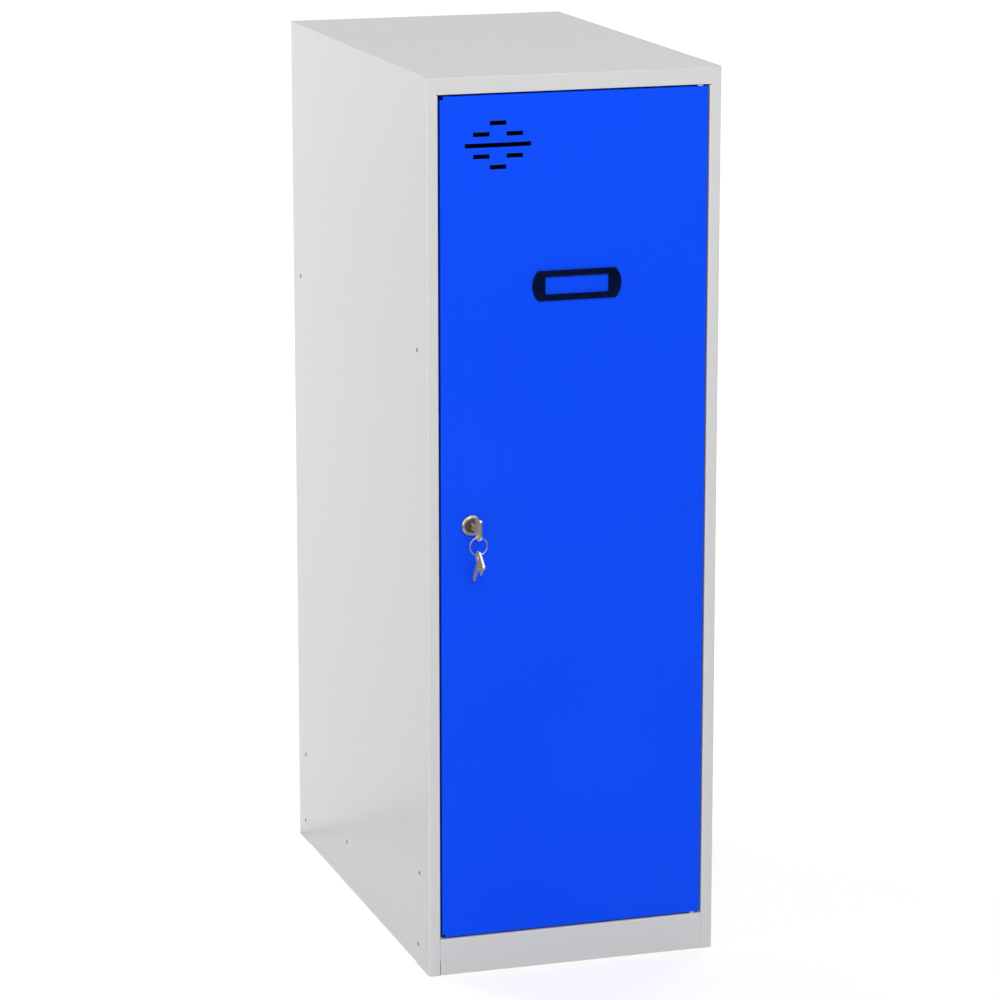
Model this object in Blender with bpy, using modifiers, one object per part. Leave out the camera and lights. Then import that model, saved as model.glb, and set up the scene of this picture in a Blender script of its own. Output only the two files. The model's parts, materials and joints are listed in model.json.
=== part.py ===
"""Single-door steel locker with a shelf, a cam lock and two keys on a ring.

Metres, +Z up. The door faces -Y. The origin lies on the floor, in the middle of the footprint
of the whole object, with the keys that hang in front of the door counted in.
"""

import math

import bmesh
import bpy
from mathutils import Matrix, Vector

# Clearances
FIT = 0.0003  # between pieces that touch
SEAM = 0.00015  # under a head or a nut that is pressed home
FLUSH = 0.00003  # hairline of a joint that is welded and ground flush
BUTT = 0.0001  # open line between the plinth's end and a post
PLAY = 0.00015  # radial play of a pin that turns
OVERRUN = 0.001  # how far a cutter runs past the wall it cuts
WELD = 0.000003  # points nearer than this are one point

# Carcass
WIDTH = 0.300
DEPTH = 0.500
HEIGHT = 0.900
SHEET = 0.0008
BEND = 0.002  # outside radius of a fold
POST_WIDTH = 0.012
STOP_WIDTH = 0.012  # flange behind the door's edge
STOP_GAP = 0.002  # between the closed door and the stop flange
REAR_FLANGE = 0.015
FOOT_FLANGE = 0.012
FOOT_INSET = 0.045  # from the front and from the back
BACK_INSET = 0.002
RAIL_HEIGHT = 0.0175
RAIL_RETURN = 0.024
RAIL_LIP = 0.009
PLINTH_HEIGHT = 0.038
PLINTH_DEPTH = 0.040
TRAY_SETBACK = 0.003  # shelf and floor behind the stop flange
FLOOR_FLANGE = 0.033
SHELF_HEIGHT = 0.643
SHELF_FLANGE = 0.024

# Door
DOOR_GAP_LOCK = 0.002
DOOR_GAP_HINGE = 0.0016
DOOR_GAP_TOP = 0.0016
DOOR_GAP_BOTTOM = 0.0018
DOOR_SHEET = 0.0008
DOOR_BEND = 0.0015
DOOR_DEPTH = 0.018
DOOR_LIP = 0.012
RELIEF_RADIUS = 0.0017  # corner relief on the lock side
RELIEF_INSET = 0.0015
STIFFENER_WEB = 0.036
STIFFENER_FOOT = 0.008
STIFFENER_SLOPE = 0.004
STIFFENER_DEPTH = 0.013
STIFFENER_MARGIN = 0.020  # from the door's top and bottom edges

# Vents
VENT_INSET = 0.058  # from the door's lock edge to the middle of the group
VENT_DROP = 0.0483
VENT_PITCH = 0.01065
VENT_HEIGHT = 0.0043
VENT_SHORT = 0.0166
VENT_LONG = 0.067
VENT_APART = 0.0337  # between the middles of the two slots of a pair
VENT_CORNER = 0.0006

# Pivots
PIVOT_INSET = 0.007  # from the door's hinge edge
PIVOT_BACK = 0.005  # behind the door's face
PIN_RADIUS = 0.0018
PIN_HEAD_RADIUS = 0.0035
PIN_HEAD = 0.0012
PIN_REACH = 0.008  # into the door
BUSH_RADIUS = 0.0027
BUSH_COLLAR_RADIUS = 0.0032
BUSH_LENGTH = 0.005

# Bumpers
BUMPER_INSET = 0.150  # from the door's top and bottom edges
BUMPER_RADIUS = 0.0042
BUMPER_STEM = 0.0015
BUMPER_BARB = 0.0024
BUMPER_BARB_LENGTH = 0.0018

# Side fasteners
RIVET_HEAD = 0.0023
RIVET_SHANK = 0.0015
RIVET_DOME = 0.0007
RIVET_CROWN_RADIUS = 0.0014
RIVET_CROWN_HEIGHT = 0.00056
RIVET_TAIL = 0.0022
RIVET_TAIL_LENGTH = 0.0015
SHELF_RIVET_FRONT = 0.033
SHELF_RIVET_BACK = 0.032
FLOOR_RIVET_FRONT = 0.038
FLOOR_RIVET_BACK = 0.028
JOIN_HEIGHT = 0.099  # plugs in the holes for bolting lockers side by side
JOIN_FRONT = 0.033
JOIN_BACK = 0.032
MID_PLUG_HEIGHT = 0.049
MID_PLUG_DEPTH = 0.303

# Label holder
LABEL_ASIDE = 0.0018  # from the door's middle, towards the hinge
LABEL_DROP = 0.1876
LABEL_WIDTH = 0.0909
LABEL_HEIGHT = 0.0294
LABEL_BULGE = 0.0058
LABEL_THICKNESS = 0.0024
LABEL_EDGE = 0.0007
LABEL_WINDOW_WIDTH = 0.0649
LABEL_WINDOW_HEIGHT = 0.0174
LABEL_CORNER = 0.0012
PEG_RADIUS = 0.0015
PEG_SPACING = 0.0765
PEG_LENGTH = 0.004
CLIP_RADIUS = 0.0042
CLIP_THICKNESS = 0.0008

# Lock
LOCK_INSET = 0.0305
BEZEL_RADIUS = 0.0104
BEZEL_PROUD = 0.0042
BEZEL_CHAMFER = 0.0016
BEZEL_RIM = 0.0012
BEZEL_RECESS = 0.0008
BARREL_RADIUS = 0.0092
PLUG_RADIUS = 0.0065
NUT_SIDES = 6
NUT_ACROSS_FLATS = 0.024
NUT_THICKNESS = 0.003
TAIL_HALF = 0.0035  # square end of the plug
CAM_THICKNESS = 0.002
CAM_WIDTH = 0.014
CAM_HEEL = 0.008
CAM_CORNER = 0.0035
CAM_GRIP = 0.008  # behind the stop flange when locked
CAM_GAP = 0.0005
SCREW_RADIUS = 0.002
SCREW_HEAD_RADIUS = 0.0045
SCREW_HEAD = 0.0025
SCREW_LENGTH = 0.007

# Keys and ring
KEY_THICKNESS = 0.0022
KEY_EDGE = 0.0003
BOW_LENGTH = 0.022
BOW_DEPTH = 0.016
BOW_HOLE_RADIUS = 0.0028
BOW_HOLE_INSET = 0.005  # from the bow's lower end
BOW_AXIS = 0.010  # from the bow's lower end to the blade's axis
BOW_LOW_CORNER = 0.005
BOW_HIGH_CORNER = 0.0025
BLADE_SHOWN = 0.0128
BLADE_IN_PLUG = 0.014
BLADE_HALF = 0.003
BLADE_CUT = 0.0014
BLADE_CUTS = 4
BLADE_CUT_PITCH = 0.0026
BLADE_TIP = 0.0024
KEYWAY_REST = 0.001  # behind the blade's tip
RING_RADIUS = 0.00885
WIRE_RADIUS = 0.0005
SPARE_SWING = math.radians(44)
SPARE_LEAN = math.radians(4)

# Smoothness of curved shapes
BEND_STEPS = 3
ROUND_STEPS = 24
SMALL_STEPS = 16
RIVET_STEPS = 10
CORNER_STEPS = 4
RING_STEPS = 40
WIRE_STEPS = 10
EDGE_STEPS = 2
CHAMFER_STEPS = 1
SMOOTH_ANGLE = math.radians(40)
STRAIGHT_ANGLE = math.radians(5)
FOLD_ANGLE = math.radians(60)

# Derived places
HALF_SHEET = SHEET / 2
MID_BEND = BEND - HALF_SHEET
LEFT = -WIDTH / 2
RIGHT = WIDTH / 2
POST_DEPTH = DOOR_DEPTH + STOP_GAP + SHEET
DOOR_LEFT = LEFT + POST_WIDTH + DOOR_GAP_LOCK
DOOR_RIGHT = RIGHT - POST_WIDTH - DOOR_GAP_HINGE
DOOR_BOTTOM = PLINTH_HEIGHT + DOOR_GAP_BOTTOM
RAIL_BOTTOM = HEIGHT - RAIL_HEIGHT
DOOR_TOP = RAIL_BOTTOM - DOOR_GAP_TOP
PIVOT_X = DOOR_RIGHT - PIVOT_INSET
LOCK_X = DOOR_LEFT + LOCK_INSET
LOCK_Z = (DOOR_BOTTOM + DOOR_TOP) / 2
CAM_FRONT = POST_DEPTH + CAM_GAP
CAM_REACH = LOCK_INSET + DOOR_GAP_LOCK - STOP_WIDTH + CAM_GRIP
HOLE_BELOW_AXIS = BOW_AXIS - BOW_HOLE_INSET
HOLE_FORWARD = BEZEL_PROUD - BEZEL_RECESS + BLADE_SHOWN + BOW_DEPTH / 2
WIRE_DROP = BOW_HOLE_RADIUS - WIRE_RADIUS - FIT
SPARE_TURN = (
    Matrix.Rotation(-SPARE_LEAN, 4, "Y")
    @ Matrix.Rotation(math.pi - SPARE_SWING, 4, "X")
    @ Matrix.Rotation(math.pi, 4, "Z")
)


def rounded(path, radius, steps, closed=False):
    """Points of a path with its corners rounded. Radius is one value or one for each corner."""
    count = len(path)
    radii = radius if isinstance(radius, list) else [radius] * count
    points = []
    for i, here in enumerate(path):
        corner = Vector(here)
        if not closed and i in (0, count - 1):
            points.append(corner)
            continue
        back = (Vector(path[i - 1]) - corner).normalized()
        ahead = (Vector(path[(i + 1) % count]) - corner).normalized()
        opening = back.angle(ahead)
        if radii[i] == 0 or math.pi - opening < STRAIGHT_ANGLE:
            points.append(corner)
            continue
        reach = radii[i] / math.tan(opening / 2)
        middle = corner + (back + ahead).normalized() * radii[i] / math.sin(opening / 2)
        start = corner + back * reach - middle
        end = corner + ahead * reach - middle
        turn = start.angle_signed(end)
        for k in range(steps + 1):
            arm = start.copy()
            arm.rotate(Matrix.Rotation(-turn * k / steps, 2))
            points.append(middle + arm)
    return points


def circle(radius, steps):
    turns = [2 * math.pi * k / steps for k in range(steps)]
    return [Vector((radius * math.cos(t), radius * math.sin(t))) for t in turns]


def rectangle(width, height, corner):
    half_width = width / 2
    half_height = height / 2
    path = [
        (-half_width, -half_height),
        (half_width, -half_height),
        (half_width, half_height),
        (-half_width, half_height),
    ]
    return rounded(path, corner, CORNER_STEPS, closed=True)


def key_path():
    """Corners of a key in its own (Y, Z) plane, round the middle of the bow's hole, with their radii."""
    half = BOW_DEPTH / 2
    low = -BOW_HOLE_INSET
    high = BOW_LENGTH - BOW_HOLE_INSET
    axis = HOLE_BELOW_AXIS
    tip = half + BLADE_SHOWN + BLADE_IN_PLUG
    path = [(-half, low), (half, low), (half, axis - BLADE_HALF)]
    radii = [BOW_LOW_CORNER, BOW_LOW_CORNER, 0]
    for k in range(BLADE_CUTS):
        middle = tip - BLADE_TIP - (BLADE_CUTS - k - 1 / 2) * BLADE_CUT_PITCH
        path.append((middle - BLADE_CUT_PITCH / 2, axis - BLADE_HALF))
        path.append((middle, axis - BLADE_HALF + BLADE_CUT))
        radii += [0, 0]
    path += [(tip - BLADE_TIP, axis - BLADE_HALF), (tip, axis), (tip - BLADE_TIP, axis + BLADE_HALF)]
    path += [(half, axis + BLADE_HALF), (half, high), (-half, high)]
    radii += [0, 0, 0, 0, BOW_HIGH_CORNER, BOW_HIGH_CORNER]
    return path, radii


def spare_reach():
    """How far the hanging key stands in front of the door's face."""
    path, radii = key_path()
    ahead = 0
    for y, z in rounded(path, radii, CORNER_STEPS, closed=True):
        for x in (-KEY_THICKNESS / 2, KEY_THICKNESS / 2):
            ahead = max(ahead, -(SPARE_TURN @ Vector((x, y, z))).y)
    return ahead + HOLE_FORWARD


KEYS_REACH = spare_reach()
FRONT_Y = (KEYS_REACH - DEPTH) / 2


def at(x, depth, z):
    """A point given by its depth behind the front plane."""
    return Vector((x, FRONT_Y + depth, z))


def clear_scene():
    for obj in list(bpy.data.objects):
        bpy.data.objects.remove(obj, do_unlink=True)


def new_collection(name):
    collection = bpy.data.collections.new(name)
    bpy.context.scene.collection.children.link(collection)
    return collection


def new_material(name, colour, roughness, metallic):
    material = bpy.data.materials.new(name)
    material.use_nodes = True
    shader = material.node_tree.nodes["Principled BSDF"]
    shader.inputs["Base Color"].default_value = (*colour, 1)
    shader.inputs["Roughness"].default_value = roughness
    shader.inputs["Metallic"].default_value = metallic
    return material


clear_scene()
LOCKER = new_collection("locker")
CUTTERS = new_collection("cutters")
GREY_PAINT = new_material("grey_paint", (0.62, 0.62, 0.61), 0.45, 0)
BLUE_PAINT = new_material("blue_paint", (0.006, 0.075, 0.91), 0.4, 0)
BLACK_PLASTIC = new_material("black_plastic", (0.006, 0.007, 0.010), 0.35, 0)
NICKEL = new_material("nickel", (0.62, 0.58, 0.52), 0.25, 1)
ZINC_STEEL = new_material("zinc_steel", (0.55, 0.56, 0.58), 0.4, 1)
NYLON = new_material("nylon", (0.75, 0.76, 0.78), 0.5, 0)
RUBBER = new_material("rubber", (0.02, 0.02, 0.02), 0.8, 0)


def placed(name, mesh, material, collection=LOCKER):
    """A new object in its collection. Cutters are kept out of the render."""
    obj = bpy.data.objects.new(name, mesh)
    collection.objects.link(obj)
    if collection is CUTTERS:
        obj.hide_render = True
        obj.display_type = "WIRE"
        return obj
    mesh.materials.append(material)
    mesh.shade_smooth()
    mesh.set_sharp_from_angle(angle=SMOOTH_ANGLE)
    return obj


def add_bevel(obj, width, segments):
    bevel = obj.modifiers.new("bevel", "BEVEL")
    bevel.width = width
    bevel.segments = segments
    bevel.limit_method = "ANGLE"
    bevel.angle_limit = FOLD_ANGLE
    bevel.use_clamp_overlap = True


def add_sheet(obj, thickness, offset):
    solid = obj.modifiers.new("sheet", "SOLIDIFY")
    solid.thickness = thickness
    solid.offset = offset
    solid.use_even_offset = True


def add_boolean(obj, other, operation):
    boolean = obj.modifiers.new(other.name, "BOOLEAN")
    boolean.operation = operation
    boolean.solver = "EXACT"
    boolean.object = other


def cut(obj, cutters):
    for cutter in cutters:
        add_boolean(obj, cutter, "DIFFERENCE")


def box(name, low, high, material=None, collection=CUTTERS):
    """A box between two corners, with its origin in its middle."""
    size = high - low
    mesh = bpy.data.meshes.new(name)
    shape = bmesh.new()
    bmesh.ops.create_cube(shape, size=1)
    bmesh.ops.scale(shape, vec=size, verts=shape.verts)
    shape.to_mesh(mesh)
    shape.free()
    obj = placed(name, mesh, material, collection)
    obj.location = (low + high) / 2
    return obj


def rod(name, radius, start, end, steps=SMALL_STEPS, collection=CUTTERS):
    """A cylinder between two points."""
    along = end - start
    mesh = bpy.data.meshes.new(name)
    shape = bmesh.new()
    bmesh.ops.create_cone(
        shape,
        cap_ends=True,
        segments=steps,
        radius1=radius,
        radius2=radius,
        depth=along.length,
    )
    shape.to_mesh(mesh)
    shape.free()
    obj = placed(name, mesh, None, collection)
    obj.location = (start + end) / 2
    obj.rotation_euler = along.to_track_quat("Z", "Y").to_euler()
    return obj


def tray(name, low, high, open_sides, thickness, bend, material, lip=0):
    """A folded tray. Open sides are face normals; a lip turns in round the first open side, +Y."""
    size = high - low
    mesh = bpy.data.meshes.new(name)
    shape = bmesh.new()
    bmesh.ops.create_cube(shape, size=1)
    bmesh.ops.scale(shape, vec=size, verts=shape.verts)
    shape.normal_update()
    gone = [f for f in shape.faces if any(f.normal.dot(Vector(n)) > 1 / 2 for n in open_sides)]
    bmesh.ops.delete(shape, geom=gone, context="FACES")
    if lip:
        rim = [e for e in shape.edges if e.is_boundary]
        made = bmesh.ops.extrude_edge_only(shape, edges=rim)["geom"]
        for vert in (v for v in made if isinstance(v, bmesh.types.BMVert)):
            vert.co.x -= math.copysign(lip, vert.co.x)
            vert.co.z -= math.copysign(lip, vert.co.z)
        bmesh.ops.recalc_face_normals(shape, faces=shape.faces)
    shape.to_mesh(mesh)
    shape.free()
    obj = placed(name, mesh, material)
    obj.location = (low + high) / 2
    add_bevel(obj, bend, BEND_STEPS)
    add_sheet(obj, thickness, -1)
    return obj


def curve_mesh(name, loops, half_depth, closed):
    """The mesh of a flat curve: a ribbon from an open path, a filled plate from closed loops."""
    curve = bpy.data.curves.new(name, "CURVE")
    curve.dimensions = "2D"
    curve.fill_mode = "BOTH" if closed else "NONE"
    curve.extrude = half_depth
    for loop in loops:
        spline = curve.splines.new("POLY")
        spline.points.add(len(loop) - 1)
        for point, place in zip(spline.points, loop):
            point.co = (place.x, place.y, 0, 1)
        spline.use_cyclic_u = closed
    guide = bpy.data.objects.new(name, curve)
    CUTTERS.objects.link(guide)
    bpy.context.view_layer.update()
    graph = bpy.context.evaluated_depsgraph_get()
    mesh = bpy.data.meshes.new_from_object(guide.evaluated_get(graph))
    bpy.data.objects.remove(guide, do_unlink=True)
    shape = bmesh.new()
    shape.from_mesh(mesh)
    bmesh.ops.remove_doubles(shape, verts=shape.verts, dist=WELD)
    bmesh.ops.recalc_face_normals(shape, faces=shape.faces)
    shape.to_mesh(mesh)
    shape.free()
    mesh.name = name
    return mesh


def plate(name, loops, thickness, axes, material=None, collection=CUTTERS):
    """A flat plate cut to an outline, with holes where there are further loops."""
    mesh = curve_mesh(name, loops, thickness / 2, closed=True)
    mesh.transform(axes)
    return placed(name, mesh, material, collection)


def turned(name, profile, steps, material, closed=False):
    """A turned piece round its local Z. The profile runs down its outer side, top to bottom."""
    mesh = bpy.data.meshes.new(name)
    shape = bmesh.new()
    verts = [shape.verts.new((r, 0, z)) for r, z in profile]
    for first, second in zip(verts, verts[1:]):
        shape.edges.new((first, second))
    if closed:
        shape.edges.new((verts[-1], verts[0]))
    shape.to_mesh(mesh)
    shape.free()
    obj = placed(name, mesh, material)
    screw = obj.modifiers.new("turned", "SCREW")
    screw.steps = steps
    screw.render_steps = steps
    screw.use_merge_vertices = True
    screw.merge_threshold = WELD
    return obj


AXES_XZ = Matrix.Rotation(math.pi / 2, 4, "X")
AXES_YZ = Matrix(((0, 0, 1, 0), (1, 0, 0, 0), (0, 1, 0, 0), (0, 0, 0, 1)))
FACING_FRONT = (math.pi / 2, 0, 0)


def side_cutters(side, tag):
    """What is cut from a side panel: the stop flange at the plinth, and the whole inner fold at the rail."""
    inside = side * (RIGHT - POST_WIDTH - STOP_WIDTH - OVERRUN)
    far = POST_DEPTH + OVERRUN
    foot = side * (RIGHT - POST_WIDTH + SHEET + OVERRUN)
    head = side * (RIGHT - POST_WIDTH + BEND)
    cuts = [
        ("foot", foot, POST_DEPTH - BEND - FIT, -OVERRUN, PLINTH_HEIGHT + FIT),
        ("head", head, -OVERRUN, RAIL_BOTTOM - FIT, HEIGHT + OVERRUN),
    ]
    cutters = []
    for label, outside, near, low, high in cuts:
        low_corner = at(min(inside, outside), near, low)
        high_corner = at(max(inside, outside), far, high)
        cutters.append(box(f"{tag}_{label}_cut", low_corner, high_corner))
    return cutters


def side_panel(side, tag):
    """Side sheet with its post, stop flange, rear flange and foot flange. Side is -1 left, 1 right."""
    rear = DEPTH - SHEET - FIT - HALF_SHEET
    stop = POST_DEPTH - HALF_SHEET
    outer = WIDTH / 2 - HALF_SHEET
    jamb = WIDTH / 2 - POST_WIDTH + HALF_SHEET
    path = [
        (side * (WIDTH / 2 - REAR_FLANGE), rear),
        (side * outer, rear),
        (side * outer, DEPTH - FOOT_INSET),
        (side * outer, FOOT_INSET),
        (side * outer, HALF_SHEET),
        (side * jamb, HALF_SHEET),
        (side * jamb, stop),
        (side * (WIDTH / 2 - POST_WIDTH - STOP_WIDTH), stop),
    ]
    top = HEIGHT - SHEET - FLUSH
    half = (top - HALF_SHEET) / 2
    name = f"side_panel_{tag}"
    mesh = curve_mesh(name, [rounded(path, MID_BEND, BEND_STEPS)], half, closed=False)
    shape = bmesh.new()
    shape.from_mesh(mesh)
    for edge in list(shape.edges):
        ends = [v.co for v in edge.verts]
        low = all(p.z < 0 for p in ends)
        foot = all(FOOT_INSET - FIT < p.y < DEPTH - FOOT_INSET + FIT for p in ends)
        if low and foot:
            made = bmesh.ops.extrude_edge_only(shape, edges=[edge])["geom"]
            for vert in (v for v in made if isinstance(v, bmesh.types.BMVert)):
                vert.co.x -= side * (FOOT_FLANGE - HALF_SHEET)
            break
    bmesh.ops.recalc_face_normals(shape, faces=shape.faces)
    shape.to_mesh(mesh)
    shape.free()
    panel = placed(name, mesh, GREY_PAINT)
    panel.location = at(0, 0, half + HALF_SHEET)
    add_bevel(panel, MID_BEND, BEND_STEPS)
    add_sheet(panel, SHEET, 0)
    cut(panel, side_cutters(side, tag))
    return panel


def fastener(name, side, depth, z, grip, targets, material):
    """A small rivet or plug through the sheets of one side, and its hole in each of them."""
    grip_end = -grip - FIT
    profile = [
        (0, RIVET_DOME),
        (RIVET_CROWN_RADIUS, RIVET_CROWN_HEIGHT),
        (RIVET_HEAD, SEAM),
        (RIVET_SHANK, SEAM),
        (RIVET_SHANK, grip_end),
        (RIVET_TAIL, grip_end),
        (RIVET_SHANK, grip_end - RIVET_TAIL_LENGTH),
        (0, grip_end - RIVET_TAIL_LENGTH),
    ]
    rivet = turned(name, profile, RIVET_STEPS, material)
    rivet.location = at(side * WIDTH / 2, depth, z)
    rivet.rotation_euler = (0, side * math.pi / 2, 0)
    outside = at(side * (WIDTH / 2 + OVERRUN), depth, z)
    inside = at(side * (WIDTH / 2 - grip - OVERRUN), depth, z)
    hole = rod(f"{name}_hole", RIVET_SHANK + FIT, outside, inside, RIVET_STEPS)
    for target in targets:
        cut(target, [hole])


def roof():
    """Roof sheet with the front rail folded down, flush between the posts."""
    top = HEIGHT - HALF_SHEET
    rail = RAIL_BOTTOM + HALF_SHEET
    path = [
        (DEPTH, top),
        (HALF_SHEET, top),
        (HALF_SHEET, rail),
        (RAIL_RETURN, rail),
        (RAIL_RETURN, RAIL_BOTTOM + RAIL_LIP),
    ]
    mesh = curve_mesh("roof_panel", [rounded(path, MID_BEND, BEND_STEPS)], WIDTH / 2, closed=False)
    mesh.transform(AXES_YZ)
    panel = placed("roof_panel", mesh, GREY_PAINT)
    panel.location = at(0, 0, 0)
    add_sheet(panel, SHEET, 0)
    for side, tag in ((-1, "left"), (1, "right")):
        inner = side * (WIDTH / 2 - POST_WIDTH + BEND - FLUSH)
        outer = side * (WIDTH / 2 + OVERRUN)
        low = at(min(inner, outer), -OVERRUN, RAIL_BOTTOM - OVERRUN)
        high = at(max(inner, outer), RAIL_RETURN + OVERRUN, HEIGHT - SHEET)
        cut(panel, [box(f"rail_{tag}_cut", low, high)])
    return panel


def pivot(tag, up, sheet_face, door_face, holed):
    """Pin fixed in the carcass and bush fixed in the door. Up is 1 above the door, -1 below it."""
    place = at(PIVOT_X, PIVOT_BACK, door_face)
    gap = abs(sheet_face - door_face)
    head = gap + SHEET + FIT
    pin_profile = [
        (0, head + PIN_HEAD),
        (PIN_HEAD_RADIUS, head + PIN_HEAD),
        (PIN_HEAD_RADIUS, head),
        (PIN_RADIUS, head),
        (PIN_RADIUS, -PIN_REACH),
        (0, -PIN_REACH),
    ]
    bore = PIN_RADIUS + PLAY
    bush_profile = [
        (bore, gap - FIT),
        (BUSH_COLLAR_RADIUS, gap - FIT),
        (BUSH_COLLAR_RADIUS, FIT),
        (BUSH_RADIUS, FIT),
        (BUSH_RADIUS, -BUSH_LENGTH),
        (bore, -BUSH_LENGTH),
    ]
    pin = turned(f"{tag}_pivot_pin", pin_profile, SMALL_STEPS, ZINC_STEEL)
    bush = turned(f"{tag}_pivot_bush", bush_profile, SMALL_STEPS, NYLON, closed=True)
    for piece in (pin, bush):
        piece.location = place
        piece.rotation_euler = (0 if up > 0 else math.pi, 0, 0)
    middle = (sheet_face + door_face) / 2
    far = up * (gap / 2 + SHEET + OVERRUN)
    frame_hole = rod(
        f"{tag}_pin_hole",
        PIN_RADIUS + FIT,
        at(PIVOT_X, PIVOT_BACK, middle),
        at(PIVOT_X, PIVOT_BACK, middle + far),
    )
    door_hole = rod(
        f"{tag}_bush_hole",
        BUSH_RADIUS + FIT,
        at(PIVOT_X, PIVOT_BACK, middle),
        at(PIVOT_X, PIVOT_BACK, middle - far),
    )
    cut(holed, [frame_hole])
    return bush, door_hole


def bumper(tag, z, panel):
    """Rubber button pushed into the stop flange on the lock side."""
    profile = [
        (0, STOP_GAP - FIT),
        (BUMPER_RADIUS, STOP_GAP - FIT),
        (BUMPER_RADIUS, FIT),
        (BUMPER_STEM, FIT),
        (BUMPER_STEM, -SHEET - FIT),
        (BUMPER_BARB, -SHEET - FIT),
        (BUMPER_STEM, -SHEET - FIT - BUMPER_BARB_LENGTH),
        (0, -SHEET - FIT - BUMPER_BARB_LENGTH),
    ]
    x = LEFT + POST_WIDTH + STOP_WIDTH - BUMPER_RADIUS - SHEET
    face = POST_DEPTH - SHEET
    button = turned(f"door_bumper_{tag}", profile, SMALL_STEPS, RUBBER)
    button.location = at(x, face, z)
    button.rotation_euler = FACING_FRONT
    start = at(x, face - OVERRUN, z)
    hole = rod(f"bumper_{tag}_hole", BUMPER_STEM + FIT, start, at(x, POST_DEPTH + OVERRUN, z))
    cut(panel, [hole])


def carcass():
    """The fixed sheet pieces with their fasteners and buttons. Returns the two that carry the pivots."""
    left = side_panel(-1, "left")
    right = side_panel(1, "right")
    roof_panel = roof()
    back_low = at(LEFT + BACK_INSET, DEPTH - SHEET, FIT)
    back_high = at(RIGHT - BACK_INSET, DEPTH, HEIGHT - SHEET - FIT)
    box("back_panel", back_low, back_high, GREY_PAINT, LOCKER)
    inner = WIDTH / 2 - SHEET - FIT
    front = POST_DEPTH + TRAY_SETBACK
    rear = DEPTH - 2 * SHEET - 2 * FIT
    floor_top = PLINTH_HEIGHT + FIT + SHEET
    floor = tray(
        "floor_panel",
        at(-inner, front, floor_top - FLOOR_FLANGE),
        at(inner, rear, floor_top),
        [(0, -1, 0), (0, 0, -1)],
        SHEET,
        BEND,
        GREY_PAINT,
    )
    shelf = tray(
        "shelf",
        at(-inner, front, SHELF_HEIGHT - SHELF_FLANGE),
        at(inner, rear, SHELF_HEIGHT),
        [(0, 0, -1)],
        SHEET,
        BEND,
        GREY_PAINT,
    )
    plinth_end = WIDTH / 2 - POST_WIDTH - BUTT
    plinth = tray(
        "plinth",
        at(-plinth_end, 0, 0),
        at(plinth_end, PLINTH_DEPTH, PLINTH_HEIGHT),
        [(0, 1, 0), (-1, 0, 0), (1, 0, 0)],
        SHEET,
        BEND,
        GREY_PAINT,
    )
    two_sheets = 2 * SHEET + FIT
    shelf_z = SHELF_HEIGHT - SHELF_FLANGE / 2
    floor_z = floor_top - FLOOR_FLANGE / 2
    for side, tag, panel in ((-1, "left", left), (1, "right", right)):
        spots = [
            (f"shelf_rivet_front_{tag}", SHELF_RIVET_FRONT, shelf_z, two_sheets, [panel, shelf]),
            (f"shelf_rivet_back_{tag}", DEPTH - SHELF_RIVET_BACK, shelf_z, two_sheets, [panel, shelf]),
            (f"floor_rivet_front_{tag}", FLOOR_RIVET_FRONT, floor_z, two_sheets, [panel, floor]),
            (f"floor_rivet_back_{tag}", DEPTH - FLOOR_RIVET_BACK, floor_z, two_sheets, [panel, floor]),
            (f"joining_plug_front_{tag}", JOIN_FRONT, JOIN_HEIGHT, SHEET, [panel]),
            (f"joining_plug_back_{tag}", DEPTH - JOIN_BACK, JOIN_HEIGHT, SHEET, [panel]),
            (f"joining_plug_middle_{tag}", MID_PLUG_DEPTH, MID_PLUG_HEIGHT, SHEET, [panel]),
        ]
        for name, depth, z, grip, targets in spots:
            fastener(name, side, depth, z, grip, targets, GREY_PAINT)
    bumper("lower", DOOR_BOTTOM + BUMPER_INSET, left)
    bumper("upper", DOOR_TOP - BUMPER_INSET, left)
    return roof_panel, plinth


def vent_cutters():
    """Cutters for the seven slots: one, two, one long, two, one."""
    x = DOOR_LEFT + VENT_INSET
    z = DOOR_TOP - VENT_DROP
    aside = VENT_APART / 2
    slots = [(0, 0, VENT_LONG)]
    for rise in (-1, 1):
        slots.append((0, 2 * rise * VENT_PITCH, VENT_SHORT))
        slots.append((-aside, rise * VENT_PITCH, VENT_SHORT))
        slots.append((aside, rise * VENT_PITCH, VENT_SHORT))
    cutters = []
    for number, (dx, dz, length) in enumerate(slots):
        slot = [rectangle(length, VENT_HEIGHT, VENT_CORNER)]
        cutter = plate(f"vent_{number}_cut", slot, DOOR_SHEET + 2 * OVERRUN, AXES_XZ)
        cutter.location = at(x + dx, DOOR_SHEET / 2, z + dz)
        cutters.append(cutter)
    return cutters


def relief_cutters():
    """Round reliefs at the two door corners on the lock side."""
    x = DOOR_LEFT + RELIEF_INSET
    cutters = []
    for tag, z in (("low", DOOR_BOTTOM + RELIEF_INSET), ("high", DOOR_TOP - RELIEF_INSET)):
        start = at(x, -OVERRUN, z)
        end = at(x, DOOR_DEPTH + OVERRUN, z)
        cutters.append(rod(f"relief_{tag}_cut", RELIEF_RADIUS, start, end))
    return cutters


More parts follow.
